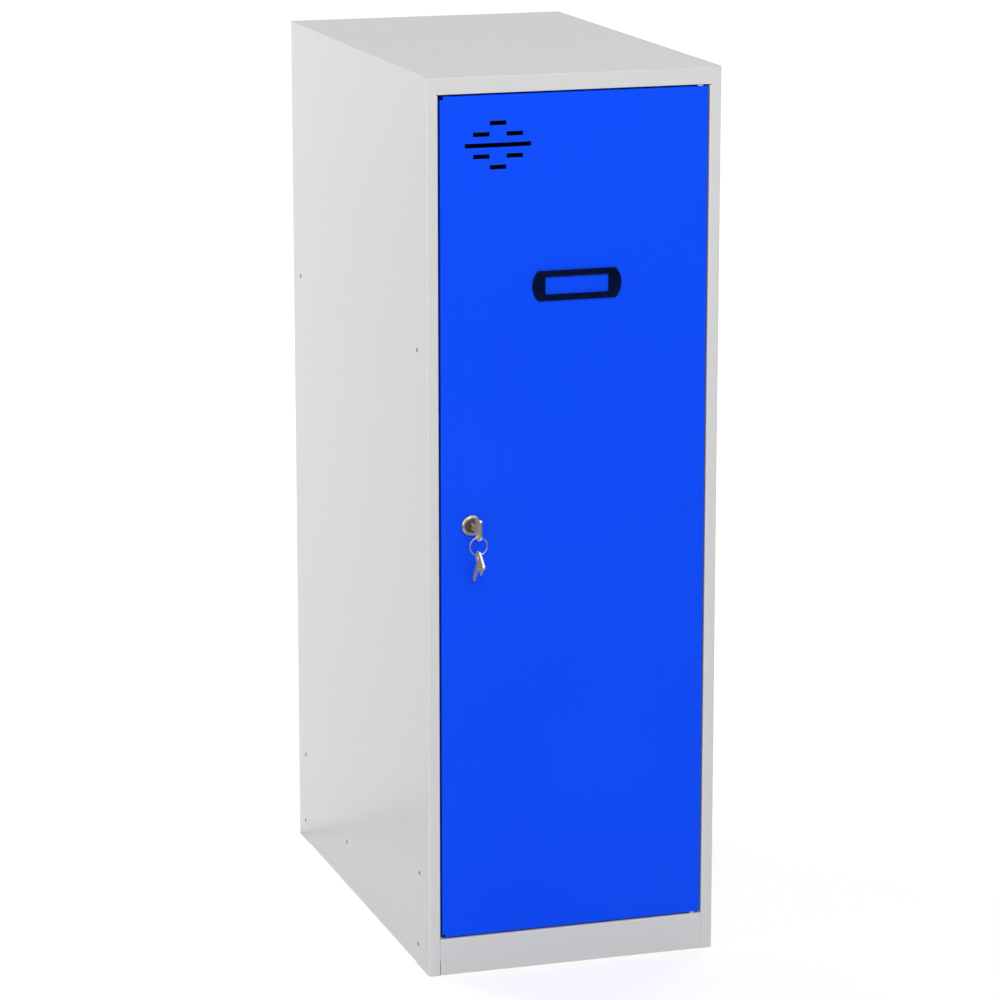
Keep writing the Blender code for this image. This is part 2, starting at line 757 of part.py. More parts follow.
def stiffener():
    """Hat section standing on the inside of the door's sheet."""
    middle = (DOOR_LEFT + DOOR_RIGHT) / 2
    base = DOOR_SHEET + FIT + HALF_SHEET
    crown = base + STIFFENER_DEPTH
    web = STIFFENER_WEB / 2
    foot = web + STIFFENER_SLOPE
    end = foot + STIFFENER_FOOT
    path = [
        (middle - end, base),
        (middle - foot, base),
        (middle - web, crown),
        (middle + web, crown),
        (middle + foot, base),
        (middle + end, base),
    ]
    half = (DOOR_TOP - DOOR_BOTTOM) / 2 - STIFFENER_MARGIN
    mesh = curve_mesh("door_stiffener", [rounded(path, MID_BEND, BEND_STEPS)], half, closed=False)
    hat = placed("door_stiffener", mesh, BLUE_PAINT)
    hat.location = at(0, 0, LOCK_Z)
    add_sheet(hat, SHEET, 0)
    return hat


def label_outline():
    """Outer edge of the label holder: straight top and bottom, ends bulging outwards."""
    half_height = LABEL_HEIGHT / 2
    shoulder = LABEL_WIDTH / 2 - LABEL_BULGE
    radius = (half_height**2 + LABEL_BULGE**2) / (2 * LABEL_BULGE)
    swing = math.asin(half_height / radius)
    steps = 2 * CORNER_STEPS
    middle = shoulder + LABEL_BULGE - radius
    points = []
    for side in (1, -1):
        for k in range(steps + 1):
            turn = side * swing * (2 * k / steps - 1)
            points.append(Vector((side * (middle + radius * math.cos(turn)), radius * math.sin(turn))))
    return points


def label_holder():
    """Black frame with an empty window, on two pegs with push nuts."""
    x = (DOOR_LEFT + DOOR_RIGHT) / 2 + LABEL_ASIDE
    z = DOOR_TOP - LABEL_DROP
    loops = [label_outline(), rectangle(LABEL_WINDOW_WIDTH, LABEL_WINDOW_HEIGHT, LABEL_CORNER)]
    holder = plate("label_holder", loops, LABEL_THICKNESS, AXES_XZ, BLACK_PLASTIC, LOCKER)
    holder.location = at(x, -FIT - LABEL_THICKNESS / 2, z)
    add_bevel(holder, LABEL_EDGE, EDGE_STEPS)
    holes = []
    pieces = [holder]
    seat = DOOR_SHEET + FIT
    for side, tag in ((-1, "left"), (1, "right")):
        peg_x = x + side * PEG_SPACING / 2
        peg = rod(f"peg_{tag}", PEG_RADIUS, at(peg_x, -LABEL_THICKNESS / 2, z), at(peg_x, PEG_LENGTH, z))
        add_boolean(holder, peg, "UNION")
        hole_start = at(peg_x, -OVERRUN, z)
        hole_end = at(peg_x, DOOR_SHEET + OVERRUN, z)
        holes.append(rod(f"peg_{tag}_hole", PEG_RADIUS + FIT, hole_start, hole_end))
        loops = [circle(CLIP_RADIUS, SMALL_STEPS), circle(PEG_RADIUS + SEAM, SMALL_STEPS)]
        clip = plate(f"label_clip_{tag}", loops, CLIP_THICKNESS, AXES_XZ, ZINC_STEEL, LOCKER)
        clip.location = at(peg_x, seat + CLIP_THICKNESS / 2, z)
        pieces.append(clip)
    return pieces, holes


def lock_housing():
    """Bezel and barrel of the lock, bored for the plug."""
    bore = PLUG_RADIUS + FIT
    rim = BEZEL_RADIUS - BEZEL_CHAMFER
    barrel_end = CAM_FRONT - 2 * FIT
    profile = [
        (bore, BEZEL_PROUD - BEZEL_RECESS),
        (rim - BEZEL_RIM, BEZEL_PROUD - BEZEL_RECESS),
        (rim - BEZEL_RIM + BEZEL_RECESS / 2, BEZEL_PROUD),
        (rim, BEZEL_PROUD),
        (BEZEL_RADIUS, BEZEL_PROUD - BEZEL_CHAMFER),
        (BEZEL_RADIUS, FIT),
        (BARREL_RADIUS, FIT),
        (BARREL_RADIUS, -barrel_end),
        (bore, -barrel_end),
    ]
    housing = turned("lock_housing", profile, ROUND_STEPS, NICKEL, closed=True)
    housing.location = at(LOCK_X, 0, LOCK_Z)
    housing.rotation_euler = FACING_FRONT
    return housing


def lock_nut():
    """Hexagon nut behind the door's sheet."""
    near = DOOR_SHEET + FIT
    corner = NUT_ACROSS_FLATS / 2 / math.cos(math.pi / NUT_SIDES)
    mesh = bpy.data.meshes.new("lock_nut")
    shape = bmesh.new()
    bmesh.ops.create_cone(
        shape,
        cap_ends=True,
        segments=NUT_SIDES,
        radius1=corner,
        radius2=corner,
        depth=NUT_THICKNESS,
    )
    shape.to_mesh(mesh)
    shape.free()
    nut = placed("lock_nut", mesh, ZINC_STEEL)
    nut.location = at(LOCK_X, near + NUT_THICKNESS / 2, LOCK_Z)
    nut.rotation_euler = FACING_FRONT
    start = at(LOCK_X, near - OVERRUN, LOCK_Z)
    end = at(LOCK_X, near + NUT_THICKNESS + OVERRUN, LOCK_Z)
    cut(nut, [rod("nut_bore", BARREL_RADIUS + FIT, start, end, ROUND_STEPS)])
    return nut


def lock_plug():
    """Turning plug with its keyway in front, and a square end with a screw hole behind."""
    face = BEZEL_PROUD - BEZEL_RECESS
    shoulder = CAM_FRONT - FIT
    profile = [(0, face), (PLUG_RADIUS, face), (PLUG_RADIUS, -shoulder), (0, -shoulder)]
    plug = turned("lock_plug", profile, ROUND_STEPS, NICKEL)
    plug.location = at(LOCK_X, 0, LOCK_Z)
    plug.rotation_euler = FACING_FRONT
    tail_end = CAM_FRONT + CAM_THICKNESS - FIT
    tail = box(
        "plug_tail",
        at(LOCK_X - TAIL_HALF, shoulder - OVERRUN, LOCK_Z - TAIL_HALF),
        at(LOCK_X + TAIL_HALF, tail_end, LOCK_Z + TAIL_HALF),
    )
    add_boolean(plug, tail, "UNION")
    wide = KEY_THICKNESS / 2 + FIT
    tall = BLADE_HALF + FIT
    keyway = box(
        "keyway",
        at(LOCK_X - wide, -face - OVERRUN, LOCK_Z - tall),
        at(LOCK_X + wide, BLADE_IN_PLUG - face + KEYWAY_REST, LOCK_Z + tall),
    )
    screw_start = at(LOCK_X, tail_end - SCREW_LENGTH - KEYWAY_REST, LOCK_Z)
    screw_hole = rod("screw_hole", SCREW_RADIUS + FIT, screw_start, at(LOCK_X, tail_end + OVERRUN, LOCK_Z))
    cut(plug, [keyway, screw_hole])
    return plug


def lock_cam():
    """Latch blade on the plug's square end, hanging down while unlocked."""
    half = CAM_WIDTH / 2
    path = [(-half, -CAM_REACH), (half, -CAM_REACH), (half, CAM_HEEL), (-half, CAM_HEEL)]
    square = 2 * (TAIL_HALF + FIT)
    loops = [rounded(path, CAM_CORNER, CORNER_STEPS, closed=True), rectangle(square, square, 0)]
    cam = plate("lock_cam", loops, CAM_THICKNESS, AXES_XZ, ZINC_STEEL, LOCKER)
    cam.location = at(LOCK_X, CAM_FRONT + CAM_THICKNESS / 2, LOCK_Z)
    return cam


def cam_screw():
    """Screw that holds the cam on the plug."""
    profile = [
        (0, SCREW_LENGTH),
        (SCREW_RADIUS, SCREW_LENGTH),
        (SCREW_RADIUS, 0),
        (SCREW_HEAD_RADIUS, 0),
        (SCREW_HEAD_RADIUS, -SCREW_HEAD),
        (0, -SCREW_HEAD),
    ]
    screw = turned("cam_screw", profile, SMALL_STEPS, ZINC_STEEL)
    screw.location = at(LOCK_X, CAM_FRONT + CAM_THICKNESS + FIT, LOCK_Z)
    screw.rotation_euler = FACING_FRONT
    return screw


def key_plate(name):
    path, radii = key_path()
    loops = [rounded(path, radii, CORNER_STEPS, closed=True), circle(BOW_HOLE_RADIUS, SMALL_STEPS)]
    key = plate(name, loops, KEY_THICKNESS, AXES_YZ, NICKEL, LOCKER)
    add_bevel(key, KEY_EDGE, CHAMFER_STEPS)
    return key


def pivot_empty(name, place, parent=None):
    """An empty on a joint's axis, which the moving pieces hang from."""
    empty = bpy.data.objects.new(name, None)
    LOCKER.objects.link(empty)
    empty.location = place
    if parent:
        hold(parent, empty)
    bpy.context.view_layer.update()
    return empty


def hold(parent, *pieces):
    """Parents pieces to an empty and leaves them where they are."""
    for piece in pieces:
        piece.parent = parent
        piece.matrix_parent_inverse = parent.matrix_world.inverted()


def build():
    roof_panel, plinth = carcass()
    upper_bush, upper_hole = pivot("upper", 1, RAIL_BOTTOM, DOOR_TOP, roof_panel)
    lower_bush, lower_hole = pivot("lower", -1, PLINTH_HEIGHT, DOOR_BOTTOM, plinth)

    door = tray(
        "door_panel",
        at(DOOR_LEFT, 0, DOOR_BOTTOM),
        at(DOOR_RIGHT, DOOR_DEPTH, DOOR_TOP),
        [(0, 1, 0)],
        DOOR_SHEET,
        DOOR_BEND,
        BLUE_PAINT,
        DOOR_LIP,
    )
    labels, peg_holes = label_holder()
    lock_start = at(LOCK_X, -OVERRUN, LOCK_Z)
    lock_end = at(LOCK_X, DOOR_SHEET + OVERRUN, LOCK_Z)
    lock_hole = rod("lock_hole", BARREL_RADIUS + FIT, lock_start, lock_end, ROUND_STEPS)
    cut(door, vent_cutters() + relief_cutters() + peg_holes + [lock_hole, upper_hole, lower_hole])
    hinge = pivot_empty("door_hinge_axis", at(PIVOT_X, PIVOT_BACK, DOOR_BOTTOM))
    hold(hinge, door, stiffener(), upper_bush, lower_bush, lock_housing(), lock_nut(), *labels)

    lock_axis = pivot_empty("lock_axis", at(LOCK_X, 0, LOCK_Z), hinge)
    hold(lock_axis, lock_plug(), lock_cam(), cam_screw())

    hole = at(LOCK_X, -HOLE_FORWARD, LOCK_Z - HOLE_BELOW_AXIS)
    key = key_plate("key")
    key.location = hole
    key_axis = pivot_empty("key_slide_axis", at(LOCK_X, -HOLE_FORWARD, LOCK_Z), lock_axis)
    hold(key_axis, key)

    wire_top = hole - Vector((0, 0, WIRE_DROP))
    ring_axis = pivot_empty("ring_swing_axis", wire_top, key_axis)
    bpy.ops.mesh.primitive_torus_add(
        major_radius=RING_RADIUS,
        minor_radius=WIRE_RADIUS,
        major_segments=RING_STEPS,
        minor_segments=WIRE_STEPS,
    )
    ring = bpy.context.object
    ring.name = "key_ring"
    for collection in list(ring.users_collection):
        collection.objects.unlink(ring)
    LOCKER.objects.link(ring)
    ring.data.materials.append(NICKEL)
    ring.data.shade_smooth()
    ring.location = wire_top - Vector((0, 0, RING_RADIUS))
    ring.rotation_euler = FACING_FRONT
    hold(ring_axis, ring)

    wire_low = wire_top - Vector((0, 0, 2 * RING_RADIUS))
    spare_axis = pivot_empty("spare_key_axis", wire_low, ring_axis)
    spare = key_plate("spare_key")
    spare.location = wire_low - Vector((0, 0, WIRE_DROP))
    spare.rotation_euler = SPARE_TURN.to_euler()
    hold(spare_axis, spare)


build()
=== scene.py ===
"""Looks of the metal locker: finishes for the carried CAD nodes, finer small parts, light and camera."""

import json
import math

import bmesh
import bpy
from mathutils import Matrix, Vector

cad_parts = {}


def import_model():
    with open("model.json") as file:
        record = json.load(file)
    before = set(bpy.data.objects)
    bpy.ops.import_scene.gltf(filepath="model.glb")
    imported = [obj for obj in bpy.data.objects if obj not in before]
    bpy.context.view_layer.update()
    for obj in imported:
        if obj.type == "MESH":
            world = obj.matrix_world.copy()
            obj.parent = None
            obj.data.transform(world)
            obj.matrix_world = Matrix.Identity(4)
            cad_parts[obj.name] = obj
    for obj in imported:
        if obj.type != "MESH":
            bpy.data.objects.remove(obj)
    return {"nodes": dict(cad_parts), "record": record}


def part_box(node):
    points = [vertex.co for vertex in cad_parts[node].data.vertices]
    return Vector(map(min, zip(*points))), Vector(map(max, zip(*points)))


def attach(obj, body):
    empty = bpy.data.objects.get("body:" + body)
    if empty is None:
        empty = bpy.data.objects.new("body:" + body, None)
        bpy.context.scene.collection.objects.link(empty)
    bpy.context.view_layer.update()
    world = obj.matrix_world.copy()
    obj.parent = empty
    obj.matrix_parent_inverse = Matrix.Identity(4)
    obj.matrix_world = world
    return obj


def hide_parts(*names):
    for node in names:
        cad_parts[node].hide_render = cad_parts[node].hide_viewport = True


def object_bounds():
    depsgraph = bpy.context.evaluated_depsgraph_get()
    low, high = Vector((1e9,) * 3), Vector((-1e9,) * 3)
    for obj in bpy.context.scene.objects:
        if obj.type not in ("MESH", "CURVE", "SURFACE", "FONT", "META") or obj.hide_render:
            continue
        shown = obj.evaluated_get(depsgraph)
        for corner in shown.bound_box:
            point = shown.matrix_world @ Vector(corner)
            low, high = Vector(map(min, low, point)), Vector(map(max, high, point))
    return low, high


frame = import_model()
cad_low, cad_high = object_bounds()

# Camera: place in metres, turns in radians, lens and sensor in millimetres
CAMERA_PLACE = (-1.2777, -3.9970, 1.3986)
CAMERA_PITCH = math.radians(90 - 13.03)
CAMERA_TURN = math.radians(-17.69)
CAMERA_LENS = 149.6
SENSOR = 36

# Light on the object: the world's level, then each lamp's name, place, target, size and power
WORLD_LEVEL = 0.435
LAMPS = [
    ("left_lamp", (-2.6, -0.5, 1.2), (0, -0.1, 0.5), 1.2, 7),
    ("rear_left_lamp", (-1.7, 1.9, 1.4), (0, 0.1, 0.5), 1.2, 37),
    ("front_lamp", (-0.3, -2.6, 2.2), (0, -0.2, 0.7), 1.4, 48),
    ("rear_right_lamp", (2.0, 1.7, 1.5), (0, 0.1, 0.55), 1.4, 28),
]

# Sky in gloss, by its rise
SKY_LOW = 0.75
SKY_HIGH = 1
SKY_START = 0.25
SKY_END = 0.6

# Floor: its size and colour, then what the camera sees: a share of the colour, and a glow by distance
FLOOR_SIZE = 40
FLOOR_PALE = (0.87, 0.865, 0.845)
FLOOR_SHARE = 0.5
GLOW_NEAR = 0.62
GLOW_FAR = 0.85
GLOW_START = 0.5
GLOW_END = 3.2

# Floor in gloss: bright behind a line square to the camera, dimmer before it, a dark strip along the line
GLOSS_LINE = 0.212
GLOSS_BEHIND = 0.79
GLOSS_BESIDE = 0.58
GLOSS_FAR = 0.16
GLOSS_START = 0.7
GLOSS_END = 1.8
GLOSS_AT_LINE = 0.03
STRIP_NARROW = 0.03
STRIP_WIDE = 0.15
STRIP_START = -0.23
STRIP_END = -0.40

# Lock, in metres
FIT = 0.0003
PLUG_RADIUS = 0.0065
PLUG_EDGE = 0.0003
BEZEL_RADIUS = 0.0104
BEZEL_PROUD = 0.0042
BEZEL_CHAMFER = 0.0016
BEZEL_RIM = 0.0012
BEZEL_RECESS = 0.0008
BEZEL_SOFT = 0.0008
BEZEL_FINE = 0.0001
BARREL_RADIUS = 0.0092
THREAD_PITCH = 0.001
THREAD_DEPTH = 0.0004
THREAD_START = 0.0015
TAIL_HALF = 0.0035
CAM_THICKNESS = 0.002
SCREW_RADIUS = 0.002
SCREW_DEPTH = 0.008

# Keys
KEY_THICKNESS = 0.0022
KEY_EDGE = 0.00022
BOW_LENGTH = 0.022
BOW_DEPTH = 0.016
BOW_HOLE_RADIUS = 0.0028
BOW_HOLE_INSET = 0.005
BOW_AXIS = 0.010
BOW_LOW_CORNER = 0.005
BOW_HIGH_CORNER = 0.0025
BOW_BORDER = 0.0017
BOW_SUNK = 0.00035
BLADE_SHOWN = 0.0128
BLADE_IN_PLUG = 0.014
BLADE_HALF = 0.003
BLADE_CUT = 0.0014
BLADE_CUTS = 4
BLADE_CUT_PITCH = 0.0026
BLADE_TIP = 0.0024
GROOVE_HALF = 0.0007
GROOVE_DEPTH = 0.0005
GRIP_SLOTS = 4
GRIP_PITCH = 0.0029
GRIP_LOWEST = 0.0047
GRIP_ASIDE = 0.001
GRIP_LENGTH = 0.0034
GRIP_HEIGHT = 0.0012
GRIP_DEPTH = 0.0006
SPARE_SWING = math.radians(44)
SPARE_LEAN = math.radians(4)

# Split ring: the wire crosses from one turn to the next over a short stretch, counted in turns
RING_RADIUS = 0.00885
RING_TURNS = 2
RING_START = math.radians(-20)
RING_CROSS_START = 0.93
RING_CROSS = 0.14
WIRE_RADIUS = 0.0005
WIRE_GAP = 0.00002
WIRE_ROUND = 0.00022

# Label holder
LABEL_WIDTH = 0.0909
LABEL_HEIGHT = 0.0294
LABEL_BULGE = 0.0058
LABEL_THICKNESS = 0.0024
LABEL_WINDOW_WIDTH = 0.0649
LABEL_WINDOW_HEIGHT = 0.0174
LABEL_EDGE = 0.0015
LABEL_EDGE_DROP = 0.001
LABEL_RIM = 0.0019
LABEL_STEP = 0.0004
LABEL_FIELD = 0.00028
LABEL_LIP = 0.00075
LABEL_LIP_DROP = 0.0008
PEG_RADIUS = 0.0015
PEG_SPACING = 0.0765
PEG_LENGTH = 0.004
PEG_ROOT = 0.001
PEG_ROUND = 0.0004

# Side fasteners
RIVET_HEAD = 0.0023
RIVET_SHANK = 0.0015
RIVET_DOME = 0.0007
RIVET_SEAT = 0.00015
RIVET_TAIL = 0.0022
RIVET_TAIL_LENGTH = 0.0015
RIVET_TAIL_ROUND = 0.0014
RIVET_BORE = 0.0012
RIVET_BORE_DEPTH = 0.0022
RIVET_DISH = 0.0018
RIVET_DISH_FLOOR = 0.00005

# Shading: samples of the edge and crease tests, the limits of a crease, and of a fold that faces up or down
TEST_SAMPLES = 6
CREASE_DEEP = 0.35
CREASE_OPEN = 0.95
FOLD_RISE = 0.3

# Meshes: steps of curves, least mitre, joining distance, sharp angle and the overrun of cutters
TURN_STEPS = 64
SMALL_STEPS = 28
RING_STEPS = 96
CORNER_STEPS = 8
FINE_STEPS = 4
EDGE_STEPS = 2
SIDE_STEPS = 28
MITRE_LEAST = 0.5
WELD = 0.000001
SMOOTH = math.radians(35)
OVERRUN = 0.001

# Turns from a mesh's own axes to the place that it takes
FACING_FRONT = Matrix.Rotation(math.pi / 2, 4, "X")
AXES_YZ = Matrix(((0, 0, 1, 0), (1, 0, 0, 0), (0, 1, 0, 0), (0, 0, 0, 1)))
SPARE_TURN = (
    Matrix.Rotation(-SPARE_LEAN, 4, "Y")
    @ Matrix.Rotation(math.pi - SPARE_SWING, 4, "X")
    @ Matrix.Rotation(math.pi, 4, "Z")
)


def tint(red, green, blue):
    """A colour as a shader's socket takes it."""
    return (red, green, blue, 1)


WHITE = tint(1, 1, 1)


class Graph:
    """The nodes and links of a material or a world."""

    def __init__(self, tree):
        self.tree = tree

    def add(self, kind, **settings):
        node = self.tree.nodes.new(kind)
        for key, value in settings.items():
            setattr(node, key, value)
        return node

    def feed(self, socket, value):
        """Links an output to a socket, or writes a plain value into it."""
        if isinstance(value, bpy.types.NodeSocket):
            self.tree.links.new(value, socket)
        else:
            socket.default_value = value

    def span(self, value, low, high, to_low, to_high, shape="LINEAR"):
        """A value carried from one range to another and held at its ends."""
        node = self.add("ShaderNodeMapRange", interpolation_type=shape)
        for socket, number in zip(node.inputs[:5], (value, low, high, to_low, to_high)):
            self.feed(socket, number)
        return node.outputs["Result"]

    def ease(self, value, low, high, to_low, to_high):
        """As span, with a soft start and end."""
        return self.span(value, low, high, to_low, to_high, "SMOOTHSTEP")

    def math(self, operation, first, second):
        node = self.add("ShaderNodeMath", operation=operation)
        self.feed(node.inputs[0], first)
        self.feed(node.inputs[1], second)
        return node.outputs["Value"]

    def split(self, vector):
        """The three parts of a vector."""
        node = self.add("ShaderNodeSeparateXYZ")
        self.feed(node.inputs["Vector"], vector)
        return node.outputs

    def shader(self, kind, colour, strength=None):
        """A plain shader of one colour, with a strength where it has one."""
        node = self.add(kind)
        self.feed(node.inputs["Color"], colour)
        if strength is not None:
            self.feed(node.inputs["Strength"], strength)
        return node.outputs[0]

    def choose(self, share, first, second):
        """The second shader where the share is 1, else the first."""
        node = self.add("ShaderNodeMixShader")
        self.feed(node.inputs["Fac"], share)
        self.feed(node.inputs[1], first)
        self.feed(node.inputs[2], second)
        return node.outputs["Shader"]


class Finish(Graph):
    """A node material that is worked out from the object's own coordinates."""

    def __init__(self, name, metallic, specular):
        self.material = bpy.data.materials.new(name)
        self.material.use_nodes = True
        super().__init__(self.material.node_tree)
        self.surface = self.tree.nodes["Principled BSDF"]
        self.surface.inputs["Metallic"].default_value = metallic
        self.surface.inputs["Specular IOR Level"].default_value = specular
        coordinates = self.add("ShaderNodeTexCoord")
        self.place = coordinates.outputs["Object"]
        self.facing = coordinates.outputs["Normal"]

    def stretched(self, scale):
        """The object's coordinates, stretched, for grain that runs one way."""
        node = self.add("ShaderNodeMapping")
        self.feed(node.inputs["Vector"], self.place)
        self.feed(node.inputs["Scale"], scale)
        return node.outputs["Vector"]

    def noise(self, scale, detail=2.0, rough=0.5, warp=0.0, vector=None):
        node = self.add("ShaderNodeTexNoise")
        self.feed(node.inputs["Vector"], vector or self.place)
        self.feed(node.inputs["Scale"], scale)
        self.feed(node.inputs["Detail"], detail)
        self.feed(node.inputs["Roughness"], rough)
        self.feed(node.inputs["Distortion"], warp)
        return node.outputs["Fac"]

    def cells(self, scale):
        """A random value for each cell of a mosaic."""
        node = self.add("ShaderNodeTexVoronoi")
        self.feed(node.inputs["Vector"], self.place)
        self.feed(node.inputs["Scale"], scale)
        return self.split(node.outputs["Color"])["X"]

    def mix(self, share, first, second):
        node = self.add("ShaderNodeMix", data_type="RGBA")
        self.feed(node.inputs[0], share)
        self.feed(node.inputs[6], first)
        self.feed(node.inputs[7], second)
        return node.outputs[2]

    def edges(self, radius, low, high):
        """Near 1 where the surface turns over an edge, 0 on the flat."""
        bevel = self.add("ShaderNodeBevel", samples=TEST_SAMPLES)
        self.feed(bevel.inputs["Radius"], radius)
        flat = self.add("ShaderNodeNewGeometry")
        dot = self.add("ShaderNodeVectorMath", operation="DOT_PRODUCT")
        self.feed(dot.inputs[0], bevel.outputs["Normal"])
        self.feed(dot.inputs[1], flat.outputs["Normal"])
        return self.span(dot.outputs["Value"], 1 - low, 1 - high, 0, 1)

    def folds(self, low, high, upward, downward):
        """Not 0 on rounded folds, 0 on faces square to the object's axes; set by how far they face down.
        Marks where a highlight is painted on folds.
        """
        across, along, rise = self.split(self.facing)
        widest = self.math("MAXIMUM", self.math("ABSOLUTE", across, 0), self.math("ABSOLUTE", along, 0))
        square = self.math("MAXIMUM", widest, self.math("ABSOLUTE", rise, 0))
        weight = self.span(rise, FOLD_RISE, -FOLD_RISE, upward, downward)
        return self.math("MULTIPLY", self.span(square, high, low, 0, 1), weight)

    def corners(self, distance):
        """Near 1 in creases, 0 in the open."""
        node = self.add("ShaderNodeAmbientOcclusion", samples=TEST_SAMPLES, only_local=True)
        self.feed(node.inputs["Distance"], distance)
        return self.span(node.outputs["AO"], CREASE_DEEP, CREASE_OPEN, 1, 0)

    def bump(self, height, distance, normal=None):
        node = self.add("ShaderNodeBump")
        self.feed(node.inputs["Height"], height)
        self.feed(node.inputs["Distance"], distance)
        if normal:
            self.feed(node.inputs["Normal"], normal)
        return node.outputs["Normal"]

    def finish(self, colour, roughness, normal):
        self.feed(self.surface.inputs["Base Color"], colour)
        self.feed(self.surface.inputs["Roughness"], roughness)
        self.feed(self.surface.inputs["Normal"], normal)
        return self.material


def powder_coat(name, thin, full, speck, edge, specular, roughness):
    """Baked paint: even film with soft clouds, fine pigment grain, orange peel, lighter worn edges, and a
    painted highlight on rounded folds, most where they face down.
    """
    coat = Finish(name, metallic=0, specular=specular)
    cloud = coat.noise(scale=4)
    drift = coat.noise(scale=38)
    grain = coat.noise(scale=2600, detail=1)
    peel = coat.noise(scale=520, detail=1.5, rough=0.45, warp=0.4)
    patches = coat.span(drift, 0.3, 0.62, 0.1, 0.5)
    rubbed = coat.math("MULTIPLY", coat.edges(0.0005, low=0.05, high=0.4), patches)
    # Worn cut edges, plus a painted highlight on folds that face down, both mixed towards the lighter edge
    # colour
    wear_and_fold_highlight = coat.math("MAXIMUM", rubbed, coat.folds(0.80, 0.975, upward=-0.1, downward=1))
    colour = coat.mix(coat.span(cloud, 0.35, 0.65, 0, 1), thin, full)
    colour = coat.mix(coat.span(grain, 0.6, 0.78, 0, 0.5), colour, speck)
    colour = coat.mix(wear_and_fold_highlight, colour, edge)
    matt = coat.span(drift, 0.3, 0.7, roughness - 0.02, roughness + 0.02)
    matt = coat.math("ADD", matt, coat.math("MULTIPLY", wear_and_fold_highlight, 0.08))
    normal = coat.bump(peel, distance=0.000012)
    normal = coat.bump(grain, distance=0.000003, normal=normal)
    return coat.finish(colour, matt, normal)


def plated(name, metallic, bright, dull, crease_shade, edge, roughness, grain_scale):
    """Plated or ground metal: fine drawn scratches, duller patches, painted shade in creases, bright edges.
    """
    metal = Finish(name, metallic, specular=0.5)
    drawn = metal.noise(scale=1, detail=3, rough=0.6, vector=metal.stretched(grain_scale))
    patch = metal.noise(scale=320, detail=3, rough=0.6)
    crease = metal.corners(distance=0.0024)
    colour = metal.mix(metal.span(patch, 0.38, 0.64, 0, 1), bright, dull)
    colour = metal.mix(metal.span(drawn, 0.45, 0.7, 0, 0.45), colour, dull)
    # Creases found by ambient occlusion are darkened: painted shade
    colour = metal.mix(metal.math("MULTIPLY", crease, 0.8), colour, crease_shade)
    colour = metal.mix(metal.edges(0.0004, low=0.04, high=0.35), colour, edge)
    matt = metal.span(drawn, 0.3, 0.7, roughness - 0.06, roughness + 0.08)
    matt = metal.math("ADD", matt, metal.math("MULTIPLY", crease, 0.2))
    normal = metal.bump(drawn, distance=0.000012)
    normal = metal.bump(patch, distance=0.00001, normal=normal)
    return metal.finish(colour, matt, normal)


def stamped_key(name, bright, dull, drawn_line, rim, cut, hollow_shade):
    """Nickel silver key: satin faces with a rubbed border, painted shade in slots and hollows, narrow edges
    cut bright.
    """
    metal = Finish(name, metallic=0, specular=0.1)
    across = metal.math("ABSOLUTE", metal.split(metal.facing)["X"], 0)
    face = metal.span(across, 0.45, 0.85, 0, 1)
    drawn = metal.noise(scale=1, detail=3, rough=0.6, vector=metal.stretched((900, 900, 4200)))
    patch = metal.noise(scale=320, detail=3, rough=0.6)
    border = metal.math("MULTIPLY", metal.edges(0.0024, low=0.01, high=0.2), face)
    colour = metal.mix(metal.span(patch, 0.38, 0.64, 0, 1), bright, dull)
    colour = metal.mix(metal.span(drawn, 0.45, 0.7, 0, 0.45), colour, drawn_line)
    colour = metal.mix(border, colour, rim)
    colour = metal.mix(face, cut, colour)
    # Slots and hollows found by ambient occlusion are darkened: painted shade
    colour = metal.mix(metal.math("MULTIPLY", metal.corners(distance=0.0022), 0.9), colour, hollow_shade)
    matt = metal.span(face, 0, 1, 0.16, 0.42)
    matt = metal.math("ADD", matt, metal.span(drawn, 0.3, 0.7, -0.04, 0.08))
    metal.feed(metal.surface.inputs["Metallic"], metal.span(face, 0, 1, 1, 0.05))
    normal = metal.bump(drawn, distance=0.000012)
    normal = metal.bump(patch, distance=0.00001, normal=normal)
    return metal.finish(colour, matt, normal)


def zinc_plated(name, dark, light, warm, crease_shade, edge):
    """Bright zinc on steel: small crystals, a faint warm and cool play of colour, and painted shade in
    creases.
    """
    zinc = Finish(name, metallic=1, specular=0.5)
    crystal = zinc.cells(scale=420)
    cloud = zinc.noise(scale=90, detail=3)
    colour = zinc.mix(crystal, dark, light)
    colour = zinc.mix(zinc.span(cloud, 0.45, 0.7, 0, 0.5), colour, warm)
    # Creases found by ambient occlusion are darkened: painted shade
    colour = zinc.mix(zinc.math("MULTIPLY", zinc.corners(distance=0.002), 0.7), colour, crease_shade)
    colour = zinc.mix(zinc.edges(0.0004, low=0.05, high=0.4), colour, edge)
    matt = zinc.span(crystal, 0, 1, 0.30, 0.46)
    return zinc.finish(colour, matt, zinc.bump(cloud, distance=0.00003))


def moulded(name, deep, pale, edge, specular, roughness, texture):
    """Moulded plastic or rubber: fine mould grain, faint flow marks, rubbed edges, which on the black
    plastic also stand in for a painted highlight.
    """
    plastic = Finish(name, metallic=0, specular=specular)
    grain = plastic.noise(scale=texture)
    flow = plastic.noise(scale=60, detail=3, warp=0.8)
    colour = plastic.mix(plastic.span(flow, 0.35, 0.65, 0, 1), deep, pale)
    # Lighter rubbed edges; on the black plastic these lighter edges are partly a painted highlight
    rubbed = plastic.math("MULTIPLY", plastic.edges(0.0006, low=0.05, high=0.5), 0.6)
    colour = plastic.mix(rubbed, colour, edge)
    matt = plastic.span(flow, 0.3, 0.7, roughness - 0.05, roughness + 0.06)
    return plastic.finish(colour, matt, plastic.bump(grain, distance=0.00002))
